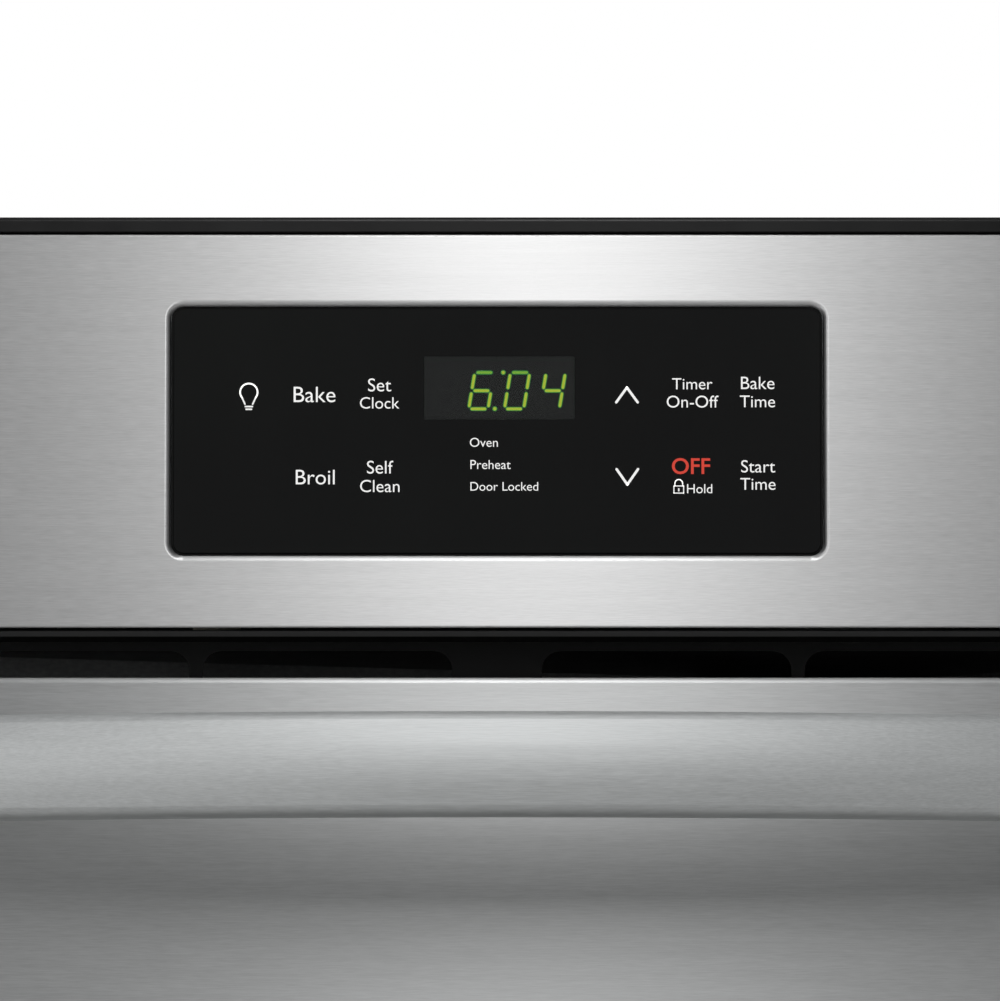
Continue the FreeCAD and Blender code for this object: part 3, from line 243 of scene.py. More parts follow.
def braided_fibre(tree, coords):
    """Braided glass-fibre sleeve over knitted wire: charcoal, lighter on the crowns of the strands and
    darker in the grooves between them, which is painted light and shade.
    """
    # the rise of the strands sets the colour: painted shade in the grooves and painted highlight on the
    # crowns
    height = put(tree, "ShaderNodeAttribute", attribute_name="strand")
    fuzz = texture(tree, coords, NOISE, (0.5, 0.5, 0.5), {"Detail": 3.0, "Roughness": 0.7})
    shade = put(tree, "ShaderNodeMath", {1: 0.35}, {0: fuzz.outputs["Fac"], 2: height.outputs["Fac"]},
                operation="MULTIPLY_ADD")
    colour = put(tree, "ShaderNodeValToRGB", links={"Fac": shade.outputs[0]},
                 stops=((0.15, "#211f1d"), (0.6, "#57534c"), (1.0, "#8b857a")))
    normal = put(tree, "ShaderNodeBump", {"Strength": 0.6, "Distance": 0.1 * MM},
                 {"Height": fuzz.outputs["Fac"]})
    return ({"Roughness": 0.85, "Sheen Weight": 0.2},
            {"Base Color": colour.outputs[0], "Normal": normal.outputs[0]})


def moulded(tree, coords, low, high, roughness, grain_mm=0.4):
    """Moulded or pressed stuff: a spark-eroded or gritty grain and tone that drifts slowly."""
    spark = texture(tree, coords, NOISE, (grain_mm,) * 3)
    broad = texture(tree, coords, NOISE, (30, 30, 30))
    colour = put(tree, "ShaderNodeValToRGB", links={"Fac": broad.outputs["Fac"]},
                 stops=((0.35, low), (0.7, high)))
    gloss = put(tree, "ShaderNodeMapRange",
                {"From Min": 0.3, "From Max": 0.7, "To Min": roughness - 0.06, "To Max": roughness + 0.06},
                {"Value": spark.outputs["Fac"]})
    normal = put(tree, "ShaderNodeBump", {"Strength": 0.5, "Distance": 0.02 * MM},
                 {"Height": spark.outputs["Fac"]})
    return {}, {"Base Color": colour.outputs[0], "Roughness": gloss.outputs[0], "Normal": normal.outputs[0]}


def printed_ink(tree, coords, low, high, glow=0.0):
    """Ceramic ink fired on glass: flat and opaque, its edge grain about 0.3 mm; any glow given is painted
    light, the ink shining as if lit though it is no lamp.
    """
    edge = texture(tree, coords, NOISE, (0.3, 0.3, 0.3))
    colour = put(tree, "ShaderNodeValToRGB", links={"Fac": edge.outputs["Fac"]},
                 stops=((0.35, low), (0.6, high)))
    return ({"Roughness": 0.55, "Emission Color": linear(high), "Emission Strength": glow},
            {"Base Color": colour.outputs[0]})


def led_light(tree, coords):
    """Lit display segment: yellow-green in the middle, deeper green towards its rim."""
    rim = put(tree, "ShaderNodeAttribute", attribute_name="rim")
    colour = put(tree, "ShaderNodeValToRGB", links={"Fac": rim.outputs["Fac"]},
                 stops=((0.0, "#cbdc3c"), (0.3, "#93c93a"), (0.65, "#2f9e48"), (1.0, "#0f6a38")))
    return ({"Roughness": 0.5, "Emission Strength": 3.0, "Base Color": linear("#1c2418")},
            {"Emission Color": colour.outputs[0]})


STEEL = finish("brushed_stainless", brushed_stainless, low="#c7c7c7", high="#d9d9d9",
               roughness=0.44, drawn=0.86, streak_mm=7)
# painted shade: the door's steel is a darker copy of the fascia's, so that the door's band below the vent
# reads as shaded
SHADED_DOOR_STEEL = finish("brushed_stainless_door_painted_shade", brushed_stainless, low="#babbbb", high="#cacbcb",
                    roughness=0.44, drawn=0.86, streak_mm=7)
HANDLE_STEEL = finish("satin_handle_stainless", brushed_stainless, low="#c0c2c2", high="#d6d8d8",
                      roughness=0.55, drawn=0.45, streak_mm=9)
GALVANISED = finish("galvanised_sheet", galvanised_sheet)
# aluminised sheet: dull silver with a faint rolled grain
ALUMINISED = finish("aluminised_steel", rolled_metal, tones=("#9c9d9d", "#a8a9a9", "#b4b5b5"),
                    size_mm=(40, 1.2, 1.2), roughness=0.47, metallic=0.9)
# clear-passivated zinc: bright grey with a slight blue and yellow cast
ZINC = finish("zinc_plate", rolled_metal, tones=("#a9adb2", "#bdbdb8", "#b9b39f"),
              size_mm=(14, 14, 14), roughness=0.34)
# oil-tempered wire: dark grey with a dull sheen
SPRING = finish("spring_steel", rolled_metal, tones=("#3b3937", "#4c4946", "#5d5a56"),
                size_mm=(1.5, 1.5, 1.5), roughness=0.36)
# nickel-chrome plate: bright, with a faint straw tint from heat
CHROME = finish("chrome_wire", rolled_metal, tones=("#d9dade", "#d3d2cd", "#c4b9a2"),
                size_mm=(45, 45, 45), roughness=0.15, depth=0.005)
# nickel-alloy sheath after firing: a matt brown-black oxide skin
HEATER = finish("heater_sheath", rolled_metal, tones=("#2a2725", "#3b3531", "#57493d"),
                size_mm=(5, 5, 5), roughness=0.58, metallic=0.55)
ENAMEL = finish("porcelain_enamel", porcelain_enamel)
FRAME_ENAMEL = finish("gloss_frame_enamel", black_paint, low="#0b0b0c", high="#101011", roughness=0.22,
                      peel_mm=2.0)
BLACK_PAINT = finish("satin_black_paint", black_paint, low="#0c0c0c", high="#121212", roughness=0.32,
                     shine=0.28)
# the vent's powder coat is flatter than the trim's paint, and its lighter grey is painted sheen standing in
# for the grazing reflection along the vent's front
SHEEN_VENT_PAINT = finish("vent_paint_painted_sheen", black_paint, low="#1a1a1a", high="#202020", roughness=0.45,
                    shine=0.25)
BLACK_GLASS = finish("back_printed_glass", back_printed_glass)
# smoked polycarbonate: lets lit digits through and hides what is unlit
SMOKED = finish("smoked_polycarbonate", clear_sheet, tone="#868988", passes=0.92, ior=1.49, roughness=0.10)
# grey-tinted tempered glass: passes about a tenth of the light
DOOR_GLASS = finish("tinted_door_glass", clear_sheet, tone="#4f5454", passes=0.92, ior=1.5, roughness=0.0)
# clear heat-resisting glass with the faint green of its edges
CLEAR_GLASS = finish("clear_heat_glass", clear_sheet, tone="#e3eee9", passes=1.0, ior=1.49, roughness=0.01)
FIBRE = finish("glass_fibre", glass_fibre)
BRAID = finish("braided_fibre", braided_fibre)
BLACK_ABS = finish("black_abs", moulded, low="#111111", high="#171717", roughness=0.5)
BOARD = finish("solder_masked_board", moulded, low="#184c2d", high="#1d5a35", roughness=0.35)
WHITE_NYLON = finish("natural_nylon", moulded, low="#cbc7ba", high="#d9d5c8", roughness=0.45)
# unglazed steatite ceramic: cream and chalky
CERAMIC = finish("steatite", moulded, low="#cfc7b4", high="#ebe6d8", roughness=0.72, grain_mm=0.6)
# closed-cell neoprene foam: dead black with open pores about 1 mm across; its dead black also stands in as
# painted shade in the gap round the touch glass
GAP_SHADE_FOAM = finish("neoprene_foam_gap_shade", moulded, low="#0a0a0a", high="#101010", roughness=0.9, grain_mm=1.0)
LED = finish("led_light", led_light)
UNLIT = finish("unlit_segment", moulded, low="#3a3d39", high="#40433f", roughness=0.6)
MODULE = finish("display_face", moulded, low="#141514", high="#1a1b1a", roughness=0.5)
# both inks glow a little: painted light that keeps the legends bright though they are no lamp
WHITE_INK = finish("white_ink", printed_ink, low="#e6e6e4", high="#f6f6f5", glow=0.42)
RED_INK = finish("red_ink", printed_ink, low="#d43a28", high="#e2402c", glow=0.25)
FRIT_INK = finish("black_frit", printed_ink, low="#0a0a0a", high="#0d0d0d")
FLOOR_PAINT = finish("pale_floor", moulded, low="#e4e4e3", high="#e9e9e8", roughness=0.8, grain_mm=4.0)


def dress_cad_nodes():
    """Give every CAD node that stays in view its finish."""
    finishes = {
        STEEL: ["control_fascia"],
        SHADED_DOOR_STEEL: ["door_skin"],
        HANDLE_STEEL: ["door_handle", "handle_post_left", "handle_post_right"],
        GALVANISED: ["base_pan", "side_panel_left", "side_panel_right", "back_panel", "top_panel",
                     "control_housing"],
        ALUMINISED: ["air_duct", "fan_housing", "fan_impeller", "oven_vent_tube", "window_frame"],
        ENAMEL: ["cavity_liner", "door_liner"],
        FRAME_ENAMEL: ["front_frame"],
        BLACK_PAINT: ["top_trim", "bottom_trim"],
        SHEEN_VENT_PAINT: ["vent_grille"],
        ZINC: ["hinge_arm_left", "hinge_arm_right", "hinge_receiver_left", "hinge_receiver_right",
               "hinge_channel_left", "hinge_channel_right", "hinge_rod_left", "hinge_rod_right",
               "latch_bracket", "latch_hook", "fan_motor", "conduit_bushing", "temperature_probe"],
        CHROME: ["rack_lower", "rack_upper"],
        HEATER: ["bake_element", "broil_element"],
        BLACK_GLASS: ["touch_glass"],
        SMOKED: ["display_lens"],
        DOOR_GLASS: ["door_glass"],
        CLEAR_GLASS: ["window_panes", "lamp_bulb", "lamp_lens"],
        BLACK_ABS: ["latch_motor", "door_switch", "switch_plunger"],
        MODULE: ["display_module"],
        BOARD: ["control_board"],
        CERAMIC: ["lamp_socket", "thermal_cutout"],
        WHITE_NYLON: ["latch_cam"],
    }
    for material, names in finishes.items():
        for name in names:
            mesh = NODES[name].data
            mesh.materials.clear()
            mesh.materials.append(material)


# ---------------------------------------------------------------- mesh helpers
def linked(name, data):
    """A new object in the scene."""
    made = bpy.data.objects.new(name, data)
    bpy.context.scene.collection.objects.link(made)
    return made


def piece(name, mesh, body, material):
    """A finished mesh as a piece that rides on a body."""
    made = linked(name, mesh)
    mesh.materials.clear()
    mesh.materials.append(material)
    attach(made, body)
    return made


def as_mesh(bm, name, settle=True):
    """Mesh of a bmesh that is done with, its faces turned outwards unless they are so already."""
    if settle:
        bmesh.ops.recalc_face_normals(bm, faces=bm.faces)
    mesh = bpy.data.meshes.new(name)
    bm.to_mesh(mesh)
    bm.free()
    return mesh


def plain_mesh(holder):
    """What a holder's modifiers, or its text, come to as a mesh; the holder is removed."""
    bpy.context.view_layer.update()
    graph = bpy.context.evaluated_depsgraph_get()
    mesh = bpy.data.meshes.new_from_object(holder.evaluated_get(graph))
    holder.modifiers.clear()
    bpy.data.objects.remove(holder)
    return mesh


def smooth(mesh, angle=None):
    """Shade smooth, keeping edges sharper than an angle in degrees."""
    for face in mesh.polygons:
        face.use_smooth = True
    if angle is not None:
        bm = bmesh.new()
        bm.from_mesh(mesh)
        for edge in bm.edges:
            if len(edge.link_faces) == 2 and edge.calc_face_angle(0) > math.radians(angle):
                edge.smooth = False
        bm.to_mesh(mesh)
        bm.free()
    return mesh


def joined(name, meshes):
    """One mesh out of several."""
    bm = bmesh.new()
    for mesh in meshes:
        bm.from_mesh(mesh)
    return as_mesh(bm, name, settle=False)


def outline_mesh(name, outlines, y, thick):
    """Closed flat shapes in the plane of the front, from (x, z) outlines in millimetres."""
    bm = bmesh.new()
    for outline in outlines:
        front = [bm.verts.new((x * MM, y, z * MM)) for x, z in outline]
        rear = [bm.verts.new((x * MM, y + thick, z * MM)) for x, z in outline]
        bm.faces.new(front)
        bm.faces.new(rear[::-1])
        count = len(outline)
        for k in range(count):
            bm.faces.new((front[k], rear[k], rear[(k + 1) % count], front[(k + 1) % count]))
    return as_mesh(bm, name)


def capsule(start, end, width, steps=6):
    """Outline of a bar with round ends, from its two end centres."""
    a, b = Vector(start), Vector(end)
    heading = math.atan2(b.y - a.y, b.x - a.x)
    points = []
    for centre, turn in ((b, -math.pi / 2), (a, math.pi / 2)):
        for k in range(steps + 1):
            angle = heading + turn + math.pi * k / steps
            points.append((centre.x + width / 2 * math.cos(angle), centre.y + width / 2 * math.sin(angle)))
    return points


def stroke(points, width):
    """Bars with round ends along a run of points, as separate outlines."""
    return [capsule(a, b, width) for a, b in zip(points, points[1:])]


def arc(centre, radius, start, end, steps):
    """Points along an arc between two angles in degrees."""
    out = []
    for k in range(steps + 1):
        a = math.radians(start + (end - start) * k / steps)
        out.append((centre[0] + radius * math.cos(a), centre[1] + radius * math.sin(a)))
    return out


# ------------------------------------------------------------------- legends
GLASS_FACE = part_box("touch_glass")[0][1]
INK = 0.04 * MM
# the word; its centre or left edge in x, its baseline in z and its width, in millimetres; how x is meant
WORDS = (
    ("Bake", -63.9, 672.3, 14.6, "mid"), ("Broil", -63.6, 643.4, 13.6, "mid"),
    ("Set", -41.1, 676.1, 8.1, "mid"), ("Clock", -41.1, 670.05, 13.8, "mid"),
    ("Self", -40.9, 647.2, 9.2, "mid"), ("Clean", -41.0, 640.7, 13.8, "mid"),
    ("Oven", -9.5, 656.6, 9.8, "left"), ("Preheat", -9.3, 648.8, 14.1, "left"),
    ("Door Locked", -9.3, 641.2, 23.7, "left"),
    ("Timer", 68.4, 676.8, 14.1, "mid"), ("On-Off", 68.5, 670.4, 18.1, "mid"),
    ("Bake", 91.3, 676.9, 11.7, "mid"), ("Time", 91.2, 670.5, 12.3, "mid"),
    ("Start", 91.4, 647.6, 11.9, "mid"), ("Time", 91.3, 641.5, 12.3, "mid"),
    ("Hold", 70.9, 640.3, 8.8, "mid"),
)


def word_mesh(word, x, z, width, align, weight=-0.004):
    """A printed word, scaled to its width and lying on the touch glass; the weight thickens its strokes."""
    curve = bpy.data.curves.new(word, "FONT")
    curve.body = word
    curve.size = 1.0
    curve.offset = weight
    curve.resolution_u = 5
    curve.extrude = 0.01
    mesh = plain_mesh(linked(word, curve))
    xs = [v.co.x for v in mesh.vertices]
    scale = width / (max(xs) - min(xs))
    shift = (max(xs) + min(xs)) / 2 if align == "mid" else min(xs)
    for v in mesh.vertices:
        depth = GLASS_FACE - INK / 2 - (INK / 2 if v.co.z > 0 else -INK)
        v.co = ((x + (v.co.x - shift) * scale) * MM, depth, (z + v.co.y * scale) * MM)
    mesh.update()
    return mesh


def icon_outlines():
    """Lamp, arrows and padlock."""
    shapes = []
    lamp_x, lamp_z, lamp_r = -86.9, 675.8, 3.05
    globe = arc((lamp_x, lamp_z), lamp_r, -38, 218, 26)
    neck = [(lamp_x - 1.35, 671.6), (lamp_x + 1.35, 671.6)]
    shapes += stroke([neck[0]] + globe[::-1] + [neck[1]], 0.55)
    shapes += stroke([(lamp_x - 1.25, 670.75), (lamp_x + 1.25, 670.75)], 0.55)
    shapes += stroke([(lamp_x - 0.95, 669.8), (lamp_x + 0.95, 669.8)], 0.55)
    for middle, tip, foot in ((45.5, 677.45, 672.25), (45.6, 643.35, 648.75)):
        shapes += stroke([(middle - 3.75, foot), (middle, tip), (middle + 3.75, foot)], 0.85)
    lock_x, lock_z = 63.6, 640.35
    shapes += stroke([(lock_x - 1.7, lock_z), (lock_x + 1.7, lock_z), (lock_x + 1.7, lock_z + 2.5),
                      (lock_x - 1.7, lock_z + 2.5), (lock_x - 1.7, lock_z)], 0.36)
    shackle = arc((lock_x, lock_z + 3.4), 1.35, 0, 180, 12)
    shapes += stroke([(lock_x + 1.35, lock_z + 2.5)] + shackle + [(lock_x - 1.35, lock_z + 2.5)], 0.36)
    shapes += stroke([(lock_x, lock_z + 0.8), (lock_x, lock_z + 1.5)], 0.5)
    return shapes


def print_legends():
    """Key words and icons in white, and the stop key in red."""
    words = [word_mesh(*entry) for entry in WORDS]
    icons = outline_mesh("icons", icon_outlines(), GLASS_FACE - INK, INK)
    piece("key_legends", joined("key_legends", words + [icons]), "chassis", WHITE_INK)
    stop = word_mesh("OFF", 67.9, 647.15, 13.4, "mid", 0.012)
    piece("off_legend", stop, "chassis", RED_INK)


# -------------------------------------------------------------------- display
# a standard four-digit display module, in millimetres; the slant is sideways per upwards
DIGIT_H, DIGIT_W, DIGIT_STEP = 12.8, 6.75, 12.5
SEGMENT_W, SLANT, END_GAP = 1.5, 0.165, 1.08
DIGIT_X, DIGIT_Z = -22.4, 670.15
COLON, COLON_W = ((2.2, 682.95), (-0.78, 670.2)), 1.9
RIM_DROP, BAR_DEPTH = 0.03 * MM, 0.3 * MM
# corners of each segment on a grid one wide and two high
SEGMENTS = {
    "a": ((0, 2), (1, 2)), "b": ((1, 1), (1, 2)), "c": ((1, 0), (1, 1)), "d": ((0, 0), (1, 0)),
    "e": ((0, 0), (0, 1)), "f": ((0, 1), (0, 2)), "g": ((0, 1), (1, 1)),
}
LIT = {"0": "abcdef", "4": "bcfg", "6": "acdefg"}


def segment_ends(origin_x, key):
    """The two end centres of one slanted segment, short of its corners."""
    (u0, v0), (u1, v1) = SEGMENTS[key]
    a = Vector((u0 * DIGIT_W, v0 * DIGIT_H / 2))
    b = Vector((u1 * DIGIT_W, v1 * DIGIT_H / 2))
    way = (b - a).normalized()
    a, b = a + way * END_GAP, b - way * END_GAP
    return [(origin_x + p.x + SLANT * p.y, DIGIT_Z + p.y) for p in (a, b)]


def bar_with_rim(bm, rim, start, end, width, middle, y):
    """Bar marked with a value in its middle and 1 at its rim, so that its light can fade outwards."""
    outer = capsule(start, end, width, 5)
    inner = capsule(start, end, width * 0.45, 5)
    out_front = [bm.verts.new((x * MM, y, z * MM)) for x, z in outer]
    in_front = [bm.verts.new((x * MM, y - RIM_DROP, z * MM)) for x, z in inner]
    rear = [bm.verts.new((x * MM, y + BAR_DEPTH, z * MM)) for x, z in outer]
    for v in out_front + rear:
        v[rim] = 1.0
    for v in in_front:
        v[rim] = middle
    count = len(outer)
    bm.faces.new(in_front)
    bm.faces.new(rear[::-1])
    for k in range(count):
        n = (k + 1) % count
        bm.faces.new((out_front[k], in_front[k], in_front[n], out_front[n]))
        bm.faces.new((rear[k], out_front[k], out_front[n], rear[n]))


def bar_set(name, bars, y, material):
    """One piece out of (start, end, width, middle value) bars."""
    bm = bmesh.new()
    rim = bm.verts.layers.float.new("rim")
    for start, end, width, middle in bars:
        bar_with_rim(bm, rim, start, end, width, middle, y)
    piece(name, as_mesh(bm, name), "chassis", material)


def light_display():
    """Clock reading 6:04 with the leading digit off."""
    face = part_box("display_module")[0][1] - 0.25 * MM
    dull, bright = 0.32, 0.0
    lit, dark = [], []
    for place, sign in enumerate(" 604"):
        x = DIGIT_X + place * DIGIT_STEP
        for key in SEGMENTS:
            ends = segment_ends(x, key)
            group = lit if key in LIT.get(sign, "") else dark
            group.append((*ends, SEGMENT_W, dull if key == "a" else bright))
    for x, z in COLON:
        lit.append(((x - 0.01, z), (x + 0.01, z), COLON_W, bright))
    bar_set("clock_digits", lit, face, LED)
    bar_set("clock_unlit_segments", dark, face, UNLIT)


# --------------------------------------------------------------- door window
def ring_outline_mesh(name, outer, inner, y, thick):
    """Flat frame between two (x0, x1, z0, z1) rectangles, closed."""
    bm = bmesh.new()
    rings = []
    for depth in (y, y + thick):
        for x0, x1, z0, z1 in (outer, inner):
            rings.append([bm.verts.new((x * MM, depth, z * MM))
                          for x, z in ((x0, z0), (x1, z0), (x1, z1), (x0, z1))])
    for a, b in ((0, 1), (2, 3), (0, 2), (1, 3)):
        for k in range(4):
            n = (k + 1) % 4
            bm.faces.new((rings[a][k], rings[a][n], rings[b][n], rings[b][k]))
    return as_mesh(bm, name)


def repeat_tree(name, inputs, build):
    """Geometry tree that puts one shape on every point of a mesh.

    Each point carries a 'size' and a 'facing'. The build function makes the shape from
    the tree's own named inputs, lying flat with its face up; it is stood up to face
    along y. The identifiers of the inputs come back with the tree.
    """
    tree = bpy.data.node_groups.new(name, "GeometryNodeTree")
    tree.interface.new_socket("Geometry", in_out="INPUT", socket_type="NodeSocketGeometry")
    made = {label: tree.interface.new_socket(label, in_out="INPUT", socket_type=kind)
            for label, kind in {**inputs, "Most spin": "NodeSocketFloat", "Seed": "NodeSocketInt",
                                "Finish": "NodeSocketMaterial"}.items()}
    tree.interface.new_socket("Geometry", in_out="OUTPUT", socket_type="NodeSocketGeometry")
    start = put(tree, "NodeGroupInput")
    shape = build(tree, start)
    size = put(tree, "GeometryNodeInputNamedAttribute", {"Name": "size"}, data_type="FLOAT")
    facing = put(tree, "GeometryNodeInputNamedAttribute", {"Name": "facing"}, data_type="FLOAT")
    tilt = put(tree, "ShaderNodeMath", {1: -math.pi / 2}, {0: facing.outputs[0]}, operation="MULTIPLY")
    stand = put(tree, "ShaderNodeCombineXYZ", links={"X": tilt.outputs[0]})
    spin = put(tree, "FunctionNodeRandomValue", {2: 0.0},
               {3: start.outputs["Most spin"], 8: start.outputs["Seed"]}, data_type="FLOAT")
    about = put(tree, "ShaderNodeCombineXYZ", links={"Z": spin.outputs[1]})
    copies = put(tree, "GeometryNodeInstanceOnPoints", links={
        "Points": start.outputs["Geometry"], "Instance": shape, "Rotation": stand.outputs[0],
        "Scale": size.outputs[0]})
    turned = put(tree, "GeometryNodeRotateInstances", {"Local Space": True}, {
        "Instances": copies.outputs[0], "Rotation": about.outputs[0]})
    real = put(tree, "GeometryNodeRealizeInstances", links={"Geometry": turned.outputs[0]})
    dressed = put(tree, "GeometryNodeSetMaterial", links={
        "Geometry": real.outputs[0], "Material": start.outputs["Finish"]})
    put(tree, "NodeGroupOutput", links={"Geometry": dressed.outputs[0]})
    return tree, {label: socket.identifier for label, socket in made.items()}


def dot_shape(tree, start):
    """A printed dot: a thin disc."""
    disc = put(tree, "GeometryNodeMeshCylinder", {"Vertices": 10},
               {"Radius": start.outputs["Radius"], "Depth": start.outputs["Thickness"]})
    return disc.outputs["Mesh"]


def given_shape(tree, start):
    """The shape of an object handed to the tree."""
    shape = put(tree, "GeometryNodeObjectInfo", links={"Object": start.outputs["Shape"]})
    return shape.outputs["Geometry"]


def run_tree(name, points, inputs, build, values):
    """Run a repeat tree on (place, size, facing) points and return the plain mesh."""
    spots = bpy.data.meshes.new(name)
    spots.from_pydata([place for place, _, _ in points], [], [])
    for at, label in ((1, "size"), (2, "facing")):
        layer = spots.attributes.new(label, "FLOAT", "POINT")
        for k, point in enumerate(points):
            layer.data[k].value = point[at]
    tree, sockets = repeat_tree(name, inputs, build)
    holder = linked(name, spots)
    modifier = holder.modifiers.new(name, "NODES")
    modifier.node_group = tree
    for label, value in values.items():
        modifier[sockets[label]] = value
    return plain_mesh(holder)


def print_door_glass():
    """Black frit border behind the outer door glass, fading inwards in rows of dots."""
    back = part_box("door_glass")[1][1] + 0.02 * MM
    border = ring_outline_mesh("frit_border", (-271, 271, 149, 471), (-246, 246, 174, 446), back, INK)
    piece("frit_border", border, "door", FRIT_INK)
    points = []
    pitch, row_gap, rows, shrink = 2.6, 2.2, 6, 0.14
    first_row, middle_z, wider_by = 247.4, 310, 110
    for row in range(rows):
        half_x = first_row - row_gap * row
        half_z = half_x - wider_by
        low, high = middle_z - half_z, middle_z + half_z
        size = 1.0 - shrink * row
        shift = pitch / 2 * (row % 2)
        for k in range(int(2 * half_x / pitch)):
            x = -half_x + shift + k * pitch
            points += [((x * MM, back, z * MM), size, 1.0) for z in (low, high)]
        for k in range(1, int((high - low) / pitch)):
            z = low + shift + k * pitch
            points += [((x * MM, back, z * MM), size, 1.0) for x in (-half_x, half_x)]
    mesh = run_tree("frit_dots", points, {"Radius": "NodeSocketFloat", "Thickness": "NodeSocketFloat"},
                    dot_shape, {"Radius": 1.05 * MM, "Thickness": INK, "Most spin": 0.0, "Seed": 3,
                                "Finish": FRIT_INK})
    piece("frit_dots", mesh, "door", FRIT_INK)


# ------------------------------------------------------- screws and louvres
def welded_copy(node):
    """A copy of a CAD node's mesh with its loose triangles joined up."""
    bm = bmesh.new()
    bm.from_mesh(NODES[node].data)
    bmesh.ops.remove_doubles(bm, verts=bm.verts, dist=1e-6)
    return bm


def islands(bm):
    """The separate solids of a mesh, each as a list of its vertices' places."""
    left, found = set(bm.verts), []
    while left:
        queue, group = [left.pop()], []
        while queue:
            v = queue.pop()
            group.append(v.co.copy())
            for edge in v.link_edges:
                other = edge.other_vert(v)
                if other in left:
                    left.remove(other)
                    queue.append(other)
        found.append(group)
    return found


def spun(profile, around):
    """Shape turned about z from (radius, height) points, closed on the axis at both ends."""
    bm = bmesh.new()
    rings = []
    for r, h in profile:
        if r == 0:
            rings.append([bm.verts.new((0, 0, h * MM))] * around)
        else:
            rings.append([bm.verts.new((r * MM * math.cos(math.tau * k / around),
                                        r * MM * math.sin(math.tau * k / around), h * MM))
                          for k in range(around)])
    for a, b in zip(rings, rings[1:]):
        for k in range(around):
            n = (k + 1) % around
            corners = dict.fromkeys((a[k], a[n], b[n], b[k]))
            bm.faces.new(list(corners))
    return bm


def screw_shape(head_r, head_h, shank_r, shank):
    """Pan-head sheet-metal screw standing on its seat: domed head, cross recess, coarse thread."""
    dome = [(head_r * math.sin(a), head_h * (0.35 + 0.65 * math.cos(a)))
            for a in (math.radians(90 * k / 8) for k in range(9))]
    profile = dome + [(head_r, 0.15), (head_r - 0.15, 0.0), (shank_r, 0.0)]
    pitch, root = 1.4, 0.78 * shank_r
    for k in range(int(shank / pitch)):
        profile += [(root, -pitch * (k + 0.35)), (shank_r, -pitch * (k + 0.65))]
    profile += [(shank_r * 0.5, -shank + 0.4), (0, -shank)]
    body = as_mesh(spun(profile, 24), "screw_body")
    slot = bmesh.new()
    for turn in (0, math.pi / 2):
        arm = bmesh.ops.create_cube(slot, size=1.0)["verts"]
        for v in arm:
            reach = 0.62 if v.co.z > 0 else 0.3
            v.co = (v.co.x * 2 * head_r * reach * MM, v.co.y * 0.9 * MM,
                    (head_h + 0.4 if v.co.z > 0 else head_h * 0.35) * MM)
        bmesh.ops.rotate(slot, verts=arm, matrix=Matrix.Rotation(turn, 3, "Z"))
    recess = linked("screw_recess", as_mesh(slot, "screw_recess", settle=False))
    holder = linked("screw_body", body)
    cutter = holder.modifiers.new("recess", "BOOLEAN")
    cutter.object, cutter.operation, cutter.solver = recess, "DIFFERENCE", "EXACT"
    cutter.use_self = True
    mesh = plain_mesh(holder)
    bpy.data.objects.remove(recess)
    return smooth(mesh, 40)


def screw_seats(node):
    """Where each screw of a CAD group sits and which way its head faces."""
    bm = welded_copy(node)
    seats = []
    for group in islands(bm):
        x = (min(p.x for p in group) + max(p.x for p in group)) / 2
        z = (min(p.z for p in group) + max(p.z for p in group)) / 2
        low, high = min(p.y for p in group), max(p.y for p in group)
        wide = [p.y for p in group if math.hypot(p.x - x, p.z - z) > 0.003]
        facing = 1.0 if sum(wide) / len(wide) > (low + high) / 2 else -1.0
        seats.append(((x, min(wide) if facing > 0 else max(wide), z), 1.0, facing))
    bm.free()
    return sorted(seats)


def lay_screws():
    """Detailed screws in place of the plain ones."""
    for body in ("chassis", "door"):
        node = body + "_screws"
        shape = linked("screw_shape", screw_shape(head_r=3.6, head_h=1.9, shank_r=1.85, shank=8.0))
        mesh = run_tree(node + "_threaded", screw_seats(node), {"Shape": "NodeSocketObject"}, given_shape,
                        {"Shape": shape, "Most spin": math.tau, "Seed": 11, "Finish": ZINC})
        bpy.data.objects.remove(shape)
        made = piece(node + "_threaded", mesh, body, ZINC)
        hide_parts(node)


def coil_springs():
    """Door springs: each CAD spring copied as its own coil mesh that rides on the door."""
    for side in ("left", "right"):
        node = "hinge_spring_" + side
        coil = as_mesh(welded_copy(node), node + "_coil", settle=False)
        made = piece(node + "_coil", coil, "door", SPRING)
        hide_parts(node)
        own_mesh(made)


def louvre_shape(width, height, depth):
    """Pressed louvre hood lying face up: closed along its top edge, open below, ends drawn in."""
    bm = bmesh.new()
    rows = []
    along, across, drawn_in = 24, 8, 5.0
    for i in range(along + 1):
        x = width * (i / along - 0.5)
        from_end = min(width / 2 - abs(x), drawn_in) / drawn_in
        swell = math.sqrt(max(0.0, 1 - (1 - from_end) ** 2))
        row = []
        for j in range(across + 1):
            t = j / across
            lift = depth * swell * math.sin(math.pi / 2 * t)
            row.append(bm.verts.new((x * MM, height * (t - 0.5) * MM, lift * MM)))
        rows.append(row)
    for a, b in zip(rows, rows[1:]):
        for j in range(across):
            bm.faces.new((a[j], b[j], b[j + 1], a[j + 1]))
    bmesh.ops.recalc_face_normals(bm, faces=bm.faces)
    if sum(face.normal.z for face in bm.faces) < 0:
        bmesh.ops.reverse_faces(bm, faces=bm.faces)
    return as_mesh(bm, "louvre", settle=False)


